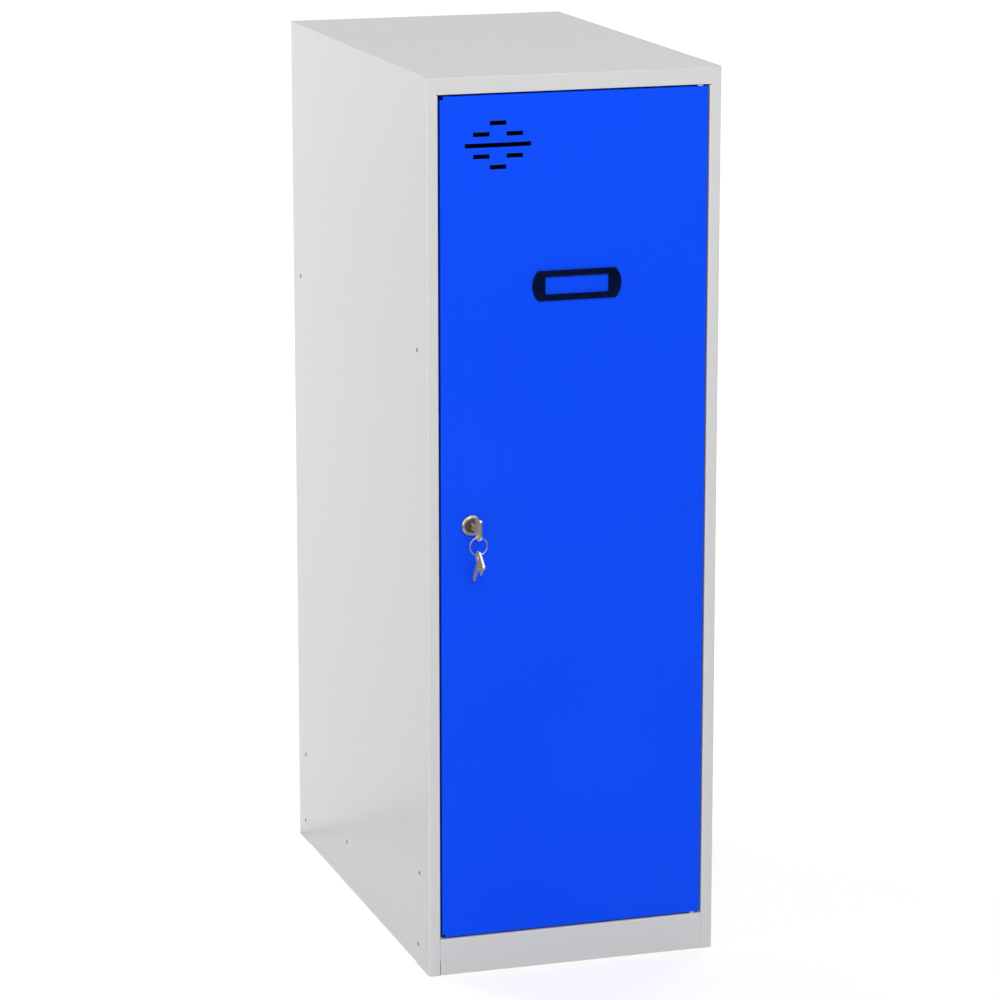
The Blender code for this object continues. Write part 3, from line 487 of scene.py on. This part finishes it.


# Each metal finish's darkest colour, mixed in by ambient occlusion in creases and hollows, is painted shade
FINISHES = {
    "grey_paint": powder_coat(
        "grey_paint_finish",
        thin=tint(0.616, 0.617, 0.619),
        full=tint(0.622, 0.623, 0.625),
        speck=tint(0.70, 0.70, 0.69),
        # edge colour: worn edges, and the painted highlight on folds
        edge=tint(0.86, 0.855, 0.835),
        specular=0.4,
        roughness=0.31,
    ),
    "blue_paint": powder_coat(
        "blue_paint_finish",
        thin=tint(0.0018, 0.066, 0.875),
        full=tint(0.0024, 0.070, 0.895),
        speck=tint(0.006, 0.090, 0.930),
        # edge colour: worn edges, and the painted highlight on folds
        edge=tint(0.012, 0.115, 0.950),
        specular=0.06,
        roughness=0.44,
    ),
    "lock_nickel": plated(
        "lock_nickel_finish",
        metallic=0.9,
        bright=tint(0.74, 0.70, 0.62),
        dull=tint(0.46, 0.42, 0.35),
        crease_shade=tint(0.03, 0.026, 0.022),
        edge=tint(0.90, 0.89, 0.86),
        roughness=0.24,
        grain_scale=(900, 900, 3200),
    ),
    "plug_bronze": plated(
        "plug_bronze_finish",
        metallic=0.8,
        bright=tint(0.20, 0.17, 0.14),
        dull=tint(0.10, 0.085, 0.07),
        crease_shade=tint(0.012, 0.010, 0.008),
        edge=tint(0.55, 0.50, 0.42),
        roughness=0.34,
        grain_scale=(2600, 900, 900),
    ),
    "key_nickel": stamped_key(
        "key_nickel_finish",
        bright=tint(0.44, 0.36, 0.21),
        dull=tint(0.31, 0.25, 0.14),
        drawn_line=tint(0.26, 0.21, 0.12),
        rim=tint(0.95, 0.84, 0.60),
        cut=tint(0.92, 0.90, 0.86),
        hollow_shade=tint(0.03, 0.024, 0.016),
    ),
    "ring_nickel": plated(
        "ring_nickel_finish",
        metallic=1,
        bright=tint(0.86, 0.80, 0.50),
        dull=tint(0.62, 0.56, 0.33),
        crease_shade=tint(0.05, 0.045, 0.03),
        edge=tint(0.98, 0.94, 0.72),
        roughness=0.22,
        grain_scale=(2200, 900, 2200),
    ),
    "rivet_steel": plated(
        "rivet_steel_finish",
        metallic=0.3,
        bright=tint(0.46, 0.46, 0.45),
        dull=tint(0.36, 0.36, 0.35),
        crease_shade=tint(0.10, 0.10, 0.098),
        edge=tint(0.60, 0.60, 0.59),
        roughness=0.5,
        grain_scale=(2000, 2000, 900),
    ),
    "zinc_steel": zinc_plated(
        "zinc_steel_finish",
        dark=tint(0.50, 0.51, 0.53),
        light=tint(0.60, 0.61, 0.62),
        warm=tint(0.60, 0.57, 0.46),
        crease_shade=tint(0.16, 0.15, 0.14),
        edge=tint(0.74, 0.74, 0.75),
    ),
    "black_plastic": moulded(
        "black_plastic_finish",
        deep=tint(0.0006, 0.0036, 0.023),
        pale=tint(0.0012, 0.0050, 0.031),
        # edge colour: rubbed edges, and partly a painted highlight
        edge=tint(0.008, 0.026, 0.10),
        specular=0.04,
        roughness=0.24,
        texture=1800,
    ),
    "nylon": moulded(
        "nylon_finish",
        deep=tint(0.70, 0.71, 0.73),
        pale=tint(0.78, 0.78, 0.79),
        edge=tint(0.86, 0.86, 0.87),
        specular=0.4,
        roughness=0.45,
        texture=1500,
    ),
    "rubber": moulded(
        "rubber_finish",
        deep=tint(0.014, 0.014, 0.014),
        pale=tint(0.026, 0.025, 0.024),
        edge=tint(0.055, 0.053, 0.050),
        specular=0.25,
        roughness=0.75,
        texture=2400,
    ),
}


def dress_nodes():
    """Gives each CAD node the finish of its slot, with normals that keep the flats flat."""
    for row in frame["record"]["subparts"]:
        node = frame["nodes"][row["node"]]
        node.data.materials.clear()
        node.data.materials.append(FINISHES[row["material_slot"]])
        node.data.shade_smooth()
        weld = node.modifiers.new("joined", "WELD")
        weld.merge_threshold = WELD
        split = node.modifiers.new("sharp", "EDGE_SPLIT")
        split.split_angle = SMOOTH
        node.modifiers.new("flats", "WEIGHTED_NORMAL")


def linked(name, data):
    """A new object in the scene."""
    thing = bpy.data.objects.new(name, data)
    bpy.context.scene.collection.objects.link(thing)
    return thing


def keep(name, mesh, body, slot, node, place, finish=None):
    """Puts a finer piece in the scene, in the place of the CAD node that it stands for."""
    mesh.materials.clear()
    mesh.materials.append(FINISHES[finish or slot])
    mesh.shade_smooth()
    mesh.set_sharp_from_angle(angle=SMOOTH)
    piece = linked(name, mesh)
    piece.matrix_world = place
    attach(piece, body)
    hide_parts(node)


def rounded(path, radius, steps=CORNER_STEPS, closed=False):
    """Points of a path with its corners rounded. Radius is one value or one for each corner."""
    count = len(path)
    radii = radius if isinstance(radius, list) else [radius] * count
    points = []
    for i, here in enumerate(path):
        corner = Vector(here)
        if radii[i] == 0 or (not closed and i in (0, count - 1)):
            points.append(corner)
            continue
        back = (Vector(path[i - 1]) - corner).normalized()
        ahead = (Vector(path[(i + 1) % count]) - corner).normalized()
        opening = back.angle(ahead)
        reach = radii[i] / math.tan(opening / 2)
        middle = corner + (back + ahead).normalized() * radii[i] / math.sin(opening / 2)
        start = corner + back * reach - middle
        turn = start.angle_signed(corner + ahead * reach - middle)
        for k in range(steps + 1):
            arm = start.copy()
            arm.rotate(Matrix.Rotation(-turn * k / steps, 2))
            points.append(middle + arm)
    return points


def finished_mesh(shape, name):
    """A mesh with its points joined and its faces turned outwards."""
    bmesh.ops.remove_doubles(shape, verts=shape.verts, dist=WELD)
    bmesh.ops.recalc_face_normals(shape, faces=shape.faces)
    mesh = bpy.data.meshes.new(name)
    shape.to_mesh(mesh)
    shape.free()
    return mesh


def skin(shape, rows):
    """Faces between rows of points, each row closed on itself."""
    for first, second in zip(rows, rows[1:]):
        for i in range(len(first)):
            j = (i + 1) % len(first)
            shape.faces.new((first[i], first[j], second[j], second[i]))


def lathe(name, profile, steps, closed=False):
    """A turned mesh round its local Z, from (radius, height) points."""
    shape = bmesh.new()
    verts = [shape.verts.new((r, 0, h)) for r, h in profile]
    edges = [shape.edges.new(pair) for pair in zip(verts, verts[1:])]
    if closed:
        edges.append(shape.edges.new((verts[-1], verts[0])))
    bmesh.ops.spin(
        shape,
        geom=verts + edges,
        cent=(0, 0, 0),
        axis=(0, 0, 1),
        angle=2 * math.pi,
        steps=steps,
        use_merge=True,
    )
    return finished_mesh(shape, name)


def plate(name, loops, thickness, edge=0.0):
    """A flat plate in its local XY, cut to an outline, with holes where there are further loops."""
    curve = bpy.data.curves.new(name, "CURVE")
    curve.dimensions = "2D"
    curve.fill_mode = "BOTH"
    curve.extrude = thickness / 2 - edge
    curve.bevel_depth = edge
    curve.bevel_resolution = EDGE_STEPS
    curve.offset = -edge
    for loop in loops:
        spline = curve.splines.new("POLY")
        spline.points.add(len(loop) - 1)
        for point, place in zip(spline.points, loop):
            point.co = (place[0], place[1], 0, 1)
        spline.use_cyclic_u = True
    shape = bmesh.new()
    shape.from_mesh(evaluated(linked(name, curve)))
    return finished_mesh(shape, name)


def evaluated(guide):
    """The mesh of an object with its modifiers, after which the object goes."""
    bpy.context.view_layer.update()
    graph = bpy.context.evaluated_depsgraph_get()
    mesh = bpy.data.meshes.new_from_object(guide.evaluated_get(graph))
    bpy.data.objects.remove(guide, do_unlink=True)
    return mesh


def combined(mesh, others, operation):
    """A mesh with others cut from it or joined to it."""
    guide = linked(mesh.name, mesh)
    tools = []
    for other in others:
        tool = linked(other.name, other)
        tool.hide_render = True
        step = guide.modifiers.new(other.name, "BOOLEAN")
        step.operation = operation
        step.solver = "EXACT"
        step.object = tool
        tools.append(tool)
    result = evaluated(guide)
    for tool in tools:
        bpy.data.objects.remove(tool, do_unlink=True)
    result.name = mesh.name
    return result


def block(name, low, high):
    """A box between two corners."""
    shape = bmesh.new()
    bmesh.ops.create_cube(shape, size=1)
    size = Vector(high) - Vector(low)
    middle = (Vector(high) + Vector(low)) / 2
    bmesh.ops.scale(shape, vec=size, verts=shape.verts)
    bmesh.ops.translate(shape, vec=middle, verts=shape.verts)
    return finished_mesh(shape, name)


def circle(radius, steps):
    """Points round the origin."""
    turns = [2 * math.pi * k / steps for k in range(steps)]
    return [(radius * math.cos(t), radius * math.sin(t)) for t in turns]


def on_door(name):
    """The middle of a node's box, brought to the door's front face."""
    low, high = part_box(name)
    return Vector(((low.x + high.x) / 2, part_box("door_panel")[0].y, (low.z + high.z) / 2))


def lock_housing():
    """Bezel with softened edges, and behind the door a barrel ringed like a thread."""
    bore = PLUG_RADIUS + FIT
    rim = BEZEL_RADIUS - BEZEL_CHAMFER
    face = BEZEL_PROUD - BEZEL_RECESS
    middle = on_door("lock_housing")
    barrel_end = middle.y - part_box("lock_housing")[1].y
    profile = rounded(
        [
            (bore, face),
            (rim - BEZEL_RIM, face),
            (rim - BEZEL_RIM + BEZEL_RECESS / 2, BEZEL_PROUD),
            (rim, BEZEL_PROUD),
            (BEZEL_RADIUS, BEZEL_PROUD - BEZEL_CHAMFER),
            (BEZEL_RADIUS, FIT),
            (BARREL_RADIUS, FIT),
        ],
        [0, BEZEL_FINE, BEZEL_FINE, BEZEL_SOFT, BEZEL_SOFT, BEZEL_FINE, 0],
        FINE_STEPS,
    )
    turns = int((-barrel_end - THREAD_START) / THREAD_PITCH) - 1
    for k in range(turns):
        top = -THREAD_START - k * THREAD_PITCH
        profile.append((BARREL_RADIUS, top))
        profile.append((BARREL_RADIUS - THREAD_DEPTH, top - THREAD_PITCH / 2))
    profile.append((BARREL_RADIUS, -THREAD_START - turns * THREAD_PITCH))
    profile += [(BARREL_RADIUS, barrel_end), (bore, barrel_end)]
    mesh = lathe("lock_head", profile, TURN_STEPS, closed=True)
    keep("lock_head", mesh, "door", "lock_nickel", "lock_housing", Matrix.Translation(middle) @ FACING_FRONT)


def keyway_outline():
    """Mouth of the keyway, with a ward on each side that runs in the blade's groove."""
    wide = KEY_THICKNESS / 2 + FIT
    tall = BLADE_HALF + FIT
    ward = wide - GROOVE_DEPTH
    half = GROOVE_HALF - FIT
    right = [(wide, -tall), (wide, -half), (ward, -half), (ward, half), (wide, half), (wide, tall)]
    return right + [(-x, -y) for x, y in right]


def lock_plug():
    """Turning plug with a warded keyway in front and a square tail behind."""
    middle = on_door("lock_housing")
    face = BEZEL_PROUD - BEZEL_RECESS
    tail_end = middle.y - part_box("lock_plug")[1].y
    shoulder = tail_end + CAM_THICKNESS
    profile = rounded(
        [(0, face), (PLUG_RADIUS, face), (PLUG_RADIUS, shoulder), (0, shoulder)],
        PLUG_EDGE,
        FINE_STEPS,
    )
    mesh = lathe("lock_core_plug", profile, TURN_STEPS)
    tail = block("tail", (-TAIL_HALF, -TAIL_HALF, tail_end), (TAIL_HALF, TAIL_HALF, shoulder + OVERRUN))
    mesh = combined(mesh, [tail], "UNION")
    mouth = face + OVERRUN
    depth = face - BLADE_IN_PLUG - OVERRUN
    keyway = plate("keyway", [keyway_outline()], mouth - depth)
    keyway.transform(Matrix.Translation((0, 0, (mouth + depth) / 2)))
    screw_top = tail_end + SCREW_DEPTH
    screw_mouth = tail_end - OVERRUN
    bore = SCREW_RADIUS + FIT
    path = [(0, screw_top), (bore, screw_top), (bore, screw_mouth), (0, screw_mouth)]
    hole = lathe("screw_hole", path, SMALL_STEPS)
    mesh = combined(mesh, [keyway, hole], "DIFFERENCE")
    place = Matrix.Translation(middle) @ FACING_FRONT
    keep("lock_core_plug", mesh, "lock_core", "lock_nickel", "lock_plug", place, finish="plug_bronze")


def key_outline():
    """Edge of a key in its own plane, round the middle of the bow's hole."""
    half = BOW_DEPTH / 2
    low = -BOW_HOLE_INSET
    high = BOW_LENGTH - BOW_HOLE_INSET
    axis = BOW_AXIS - BOW_HOLE_INSET
    tip = half + BLADE_SHOWN + BLADE_IN_PLUG
    path = [(-half, low), (half, low), (half, axis - BLADE_HALF)]
    radii = [BOW_LOW_CORNER, BOW_LOW_CORNER, 0]
    for k in range(BLADE_CUTS):
        middle = tip - BLADE_TIP - (BLADE_CUTS - k - 1 / 2) * BLADE_CUT_PITCH
        path.append((middle - BLADE_CUT_PITCH / 2, axis - BLADE_HALF))
        path.append((middle, axis - BLADE_HALF + BLADE_CUT))
        radii += [0, 0]
    path += [(tip - BLADE_TIP, axis - BLADE_HALF), (tip, axis), (tip - BLADE_TIP, axis + BLADE_HALF)]
    path += [(half, axis + BLADE_HALF), (half, high), (-half, high)]
    radii += [0, 0, 0, 0, BOW_HIGH_CORNER, BOW_HIGH_CORNER]
    return rounded(path, radii, closed=True)


def rectangle(left, low, right, high, radius, steps=CORNER_STEPS):
    """Edge of a rectangle with rounded corners."""
    return rounded([(left, low), (right, low), (right, high), (left, high)], radius, steps, closed=True)


def key_mesh():
    """A stamped key: bow with a raised border, grip slots and a punched hole, blade with a milled groove."""
    axis = BOW_AXIS - BOW_HOLE_INSET
    half = BOW_DEPTH / 2
    face = KEY_THICKNESS / 2
    tip = half + BLADE_SHOWN + BLADE_IN_PLUG
    body = plate("key", [key_outline(), circle(BOW_HOLE_RADIUS, SMALL_STEPS)], KEY_THICKNESS, KEY_EDGE)
    low = BOW_HOLE_RADIUS + BOW_BORDER / 2
    high = BOW_LENGTH - BOW_HOLE_INSET - BOW_BORDER
    inner = half - BOW_BORDER
    field = rectangle(-inner, low, inner, high, BOW_HIGH_CORNER - BOW_BORDER / 2)
    long, tall = GRIP_LENGTH / 2, GRIP_HEIGHT / 2
    grip = rectangle(-long, -tall, long, tall, tall - WELD)
    tools = []
    for side in (-1, 1):
        sunk = plate(f"sunk_{side}", [field], 2 * BOW_SUNK)
        sunk.transform(Matrix.Translation((0, 0, side * face)))
        tools.append(sunk)
        start = (half + BOW_BORDER, axis - GROOVE_HALF, side * face - GROOVE_DEPTH)
        end = (tip + OVERRUN, axis + GROOVE_HALF, side * face + GROOVE_DEPTH)
        tools.append(block(f"groove_{side}", start, end))
        for k in range(GRIP_SLOTS):
            slot = plate(f"grip_{side}_{k}", [grip], 2 * (GRIP_DEPTH + BOW_SUNK))
            slot.transform(Matrix.Translation((GRIP_ASIDE, GRIP_LOWEST + GRIP_PITCH * k, side * face)))
            tools.append(slot)
    mesh = combined(body, tools, "DIFFERENCE")
    mesh.transform(AXES_YZ)
    return mesh


def keys():
    """The key in the lock, and the spare one that hangs on the ring."""
    mesh = key_mesh()
    low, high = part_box("key")
    place = Vector(((low.x + high.x) / 2, low.y + BOW_DEPTH / 2, low.z + BOW_HOLE_INSET))
    keep("lock_key_cut", mesh, "lock_key", "key_nickel", "key", Matrix.Translation(place))
    ring_low, ring_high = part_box("key_ring")
    drop = BOW_HOLE_RADIUS - WIRE_RADIUS - FIT
    hang = (ring_low + ring_high) / 2
    hang.z = ring_low.z + WIRE_RADIUS - drop
    spare = mesh.copy()
    spare.transform(SPARE_TURN)
    keep("spare_key_cut", spare, "hanging_key", "key_nickel", "spare_key", Matrix.Translation(hang))


def key_ring():
    """Split ring: flat wire wound twice, with its two ends lying open on opposite faces."""
    low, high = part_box("key_ring")
    half_wide = WIRE_RADIUS / 2 - WIRE_GAP
    section = rectangle(-WIRE_RADIUS, -half_wide, WIRE_RADIUS, half_wide, WIRE_ROUND, FINE_STEPS)
    shape = bmesh.new()
    rows = []
    for k in range(RING_TURNS * RING_STEPS + 1):
        wound = k / RING_STEPS
        turn = RING_START + 2 * math.pi * wound
        cross = min(max((wound - RING_CROSS_START) / RING_CROSS, 0), 1)
        aside = (cross * cross * (3 - 2 * cross) * 2 - 1) * WIRE_RADIUS / 2
        row = []
        for out, along in section:
            radius = RING_RADIUS + out
            row.append(shape.verts.new((radius * math.cos(turn), aside + along, radius * math.sin(turn))))
        rows.append(row)
    skin(shape, rows)
    shape.faces.new(rows[0])
    shape.faces.new(rows[-1])
    mesh = finished_mesh(shape, "split_ring")
    place = Matrix.Translation((low + high) / 2)
    keep("split_ring", mesh, "ring", "key_nickel", "key_ring", place, finish="ring_nickel")


def offset(loop, distance):
    """A loop moved inwards along its own corners."""
    count = len(loop)
    moved = []
    for i, here in enumerate(loop):
        before = (here - loop[i - 1]).normalized()
        after = (loop[(i + 1) % count] - here).normalized()
        normal = Vector((-before.y - after.y, before.x + after.x)).normalized()
        side = Vector((-before.y, before.x))
        moved.append(here + normal * distance / max(normal.dot(side), MITRE_LEAST))
    return moved


def stretch(first, second):
    """Points at even steps from one corner towards the next, which is left out."""
    return [first.lerp(second, k / (SIDE_STEPS - 1)) for k in range(SIDE_STEPS - 1)]


def label_loops():
    """Outer edge and window edge of the label holder, with the same number of points on each side."""
    half_height = LABEL_HEIGHT / 2
    radius = (half_height**2 + LABEL_BULGE**2) / (2 * LABEL_BULGE)
    swing = math.asin(half_height / radius)
    middle = LABEL_WIDTH / 2 - radius
    arcs = []
    for side in (1, -1):
        turns = [side * swing * (2 * k / (SIDE_STEPS - 1) - 1) for k in range(SIDE_STEPS)]
        arcs.append([Vector((side * (middle + radius * math.cos(t)), radius * math.sin(t))) for t in turns])
    right, left = arcs
    outside = right[:-1] + stretch(right[-1], left[0]) + left[:-1] + stretch(left[-1], right[0])
    wide = LABEL_WINDOW_WIDTH / 2
    tall = LABEL_WINDOW_HEIGHT / 2
    corners = [Vector((wide, -tall)), Vector((wide, tall)), Vector((-wide, tall)), Vector((-wide, -tall))]
    inside = []
    for first, second in zip(corners, corners[1:] + corners[:1]):
        inside += stretch(first, second)
    return outside, inside


def round_over(width, drop):
    """Insets and drops of an edge that rounds over from its wall to its top face."""
    turns = [math.pi / 2 * k / CORNER_STEPS for k in range(CORNER_STEPS + 1)]
    return [(width * (1 - math.cos(t)), drop * (1 - math.sin(t))) for t in turns]


def label_holder():
    """Moulded frame with a rounded outer edge, a sunk field, a lip round the empty window, and two pegs."""
    outside, inside = label_loops()
    top = FIT + LABEL_THICKNESS
    field = top - LABEL_FIELD
    section = [(outside, 0, FIT)]
    section += [(outside, inset, top - drop) for inset, drop in round_over(LABEL_EDGE, LABEL_EDGE_DROP)]
    section += [(outside, LABEL_RIM, top), (outside, LABEL_RIM + LABEL_STEP, field)]
    section.append((inside, -LABEL_LIP - LABEL_STEP, field))
    lip = reversed(round_over(LABEL_LIP, LABEL_LIP_DROP))
    section += [(inside, -inset, top - drop) for inset, drop in lip]
    section.append((inside, 0, FIT))
    shape = bmesh.new()
    rows = []
    for loop, inset, height in section:
        rows.append([shape.verts.new((p.x, p.y, height)) for p in offset(loop, inset)])
    skin(shape, rows + rows[:1])
    mesh = finished_mesh(shape, "label_frame")
    root = FIT + PEG_ROOT
    path = [(0, root), (PEG_RADIUS, root), (PEG_RADIUS, -PEG_LENGTH), (0, -PEG_LENGTH)]
    profile = rounded(path, [0, 0, PEG_ROUND, 0], FINE_STEPS)
    pegs = []
    for side in (-1, 1):
        peg = lathe(f"peg_{side}", profile, SMALL_STEPS)
        peg.transform(Matrix.Translation((side * PEG_SPACING / 2, 0, 0)))
        pegs.append(peg)
    mesh = combined(mesh, pegs, "UNION")
    place = Matrix.Translation(on_door("label_holder")) @ FACING_FRONT
    keep("label_frame", mesh, "door", "black_plastic", "label_holder", place)


def rivet_profile(length):
    """Half section of a rivet: dished and bored head, shank and set tail."""
    rim = math.asin(RIVET_DISH / RIVET_HEAD)
    turns = [rim + (math.pi / 2 - rim) * k / CORNER_STEPS for k in range(CORNER_STEPS + 1)]
    dome_height = RIVET_DOME - RIVET_SEAT
    dome = [(RIVET_HEAD * math.sin(t), RIVET_SEAT + dome_height * math.cos(t)) for t in turns]
    floor_of_bore = RIVET_DOME - RIVET_BORE_DEPTH
    bore = [(0, floor_of_bore), (RIVET_BORE, floor_of_bore), (RIVET_BORE, RIVET_DISH_FLOOR)]
    under = RIVET_SEAT - WELD
    end = RIVET_DOME - length
    tail_top = end + RIVET_TAIL_LENGTH
    shank = [(RIVET_SHANK, under), (RIVET_SHANK, tail_top)]
    tail = rounded([(RIVET_TAIL, tail_top), (RIVET_TAIL, end), (0, end)], RIVET_TAIL_ROUND)
    return bore + [(RIVET_DISH, RIVET_DISH_FLOOR)] + dome + [(RIVET_HEAD, under)] + shank + tail


def fasteners():
    """Domed rivets and plugs in both sides, each with its set tail inside."""
    names = [n for n in frame["nodes"] if "rivet" in n or "plug_" in n]
    for name in sorted(names):
        low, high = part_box(name)
        side = 1 if low.x > 0 else -1
        head = high.x if side > 0 else low.x
        mesh = lathe(f"{name}_head", rivet_profile(high.x - low.x), SMALL_STEPS)
        place = Vector((head - side * RIVET_DOME, (low.y + high.y) / 2, (low.z + high.z) / 2))
        turned = Matrix.Translation(place) @ Matrix.Rotation(side * math.pi / 2, 4, "Y")
        keep(f"{name}_head", mesh, "carcass", "grey_paint", name, turned, finish="rivet_steel")


def floor_finish():
    """White to the camera with the object's shadow kept, bright or dim by place in gloss, pale elsewhere."""
    material = bpy.data.materials.new("studio_floor")
    material.use_nodes = True
    material.cycles.emission_sampling = "NONE"
    graph = Graph(material.node_tree)
    graph.tree.nodes.clear()
    place = graph.add("ShaderNodeTexCoord").outputs["Object"]
    axes = graph.split(place)
    across = axes["X"]
    along = axes["Y"]
    length = graph.add("ShaderNodeVectorMath", operation="LENGTH")
    graph.feed(length.inputs[0], place)
    away = length.outputs["Value"]
    lift = graph.ease(away, GLOW_START, GLOW_END, GLOW_NEAR, GLOW_FAR)
    beside = graph.ease(away, GLOSS_START, GLOSS_END, GLOSS_BESIDE, GLOSS_FAR)
    wide = GLOSS_LINE - STRIP_WIDE
    narrow = GLOSS_LINE - STRIP_NARROW
    strip_edge = graph.ease(across, STRIP_END, STRIP_START, wide, narrow)
    strip = graph.ease(along, strip_edge, GLOSS_LINE, 1, GLOSS_AT_LINE)
    behind = graph.math("MULTIPLY", graph.math("GREATER_THAN", along, GLOSS_LINE), GLOSS_BEHIND)
    level = graph.math("ADD", graph.math("MULTIPLY", beside, strip), behind)
    matt = graph.shader("ShaderNodeBsdfDiffuse", tint(*FLOOR_PALE))
    shaded = graph.shader("ShaderNodeBsdfDiffuse", tint(*(FLOOR_SHARE * part for part in FLOOR_PALE)))
    glow = graph.shader("ShaderNodeEmission", WHITE, lift)
    gloss = graph.shader("ShaderNodeEmission", WHITE, level)
    shown = graph.add("ShaderNodeAddShader")
    graph.feed(shown.inputs[0], shaded)
    graph.feed(shown.inputs[1], glow)
    path = graph.add("ShaderNodeLightPath")
    surface = graph.choose(path.outputs["Is Glossy Ray"], matt, gloss)
    surface = graph.choose(path.outputs["Is Camera Ray"], surface, shown.outputs["Shader"])
    graph.feed(graph.add("ShaderNodeOutputMaterial").inputs["Surface"], surface)
    return material


def floor():
    """Pale floor under the object, turned square to the camera."""
    shape = bmesh.new()
    bmesh.ops.create_grid(shape, x_segments=2, y_segments=2, size=FLOOR_SIZE / 2)
    sheet = linked("studio_floor", finished_mesh(shape, "studio_floor"))
    sheet.location.z = cad_low.z
    sheet.rotation_euler.z = CAMERA_TURN
    sheet.data.materials.append(floor_finish())


def world():
    """White to the camera and through glass; in gloss softer near the horizon; a plain level elsewhere."""
    studio = bpy.data.worlds.new("studio")
    bpy.context.scene.world = studio
    studio.use_nodes = True
    graph = Graph(studio.node_tree)
    graph.tree.nodes.clear()
    aim = graph.add("ShaderNodeTexCoord").outputs["Generated"]
    height = graph.ease(graph.split(aim)["Z"], SKY_START, SKY_END, SKY_LOW, SKY_HIGH)
    shown = graph.shader("ShaderNodeBackground", WHITE, WORLD_LEVEL)
    sky = graph.shader("ShaderNodeBackground", WHITE, height)
    white = graph.shader("ShaderNodeBackground", WHITE, 1)
    path = graph.add("ShaderNodeLightPath")
    for kind, other in (("Is Glossy Ray", sky), ("Is Transmission Ray", white), ("Is Camera Ray", white)):
        shown = graph.choose(path.outputs[kind], shown, other)
    graph.feed(graph.add("ShaderNodeOutputWorld").inputs["Surface"], shown)


def lamps():
    """Square soft boxes round the object."""
    for name, place, target, size, power in LAMPS:
        data = bpy.data.lights.new(name, "AREA")
        data.shape = "SQUARE"
        data.size = size
        data.energy = power
        lamp = linked(name, data)
        lamp.location = place
        aim = Vector(target) - Vector(place)
        lamp.rotation_euler = aim.to_track_quat("-Z", "Y").to_euler()


def camera():
    """Camera at the photograph's angle, level in roll and without shift."""
    data = bpy.data.cameras.new("camera")
    data.lens = CAMERA_LENS
    data.sensor_width = SENSOR
    eye = linked("camera", data)
    eye.location = CAMERA_PLACE
    eye.rotation_euler = (CAMERA_PITCH, 0, CAMERA_TURN)
    bpy.context.scene.camera = eye


dress_nodes()
lock_housing()
lock_plug()
keys()
key_ring()
label_holder()
fasteners()
floor()
world()
lamps()
camera()
bpy.context.scene.view_settings.view_transform = "Standard"
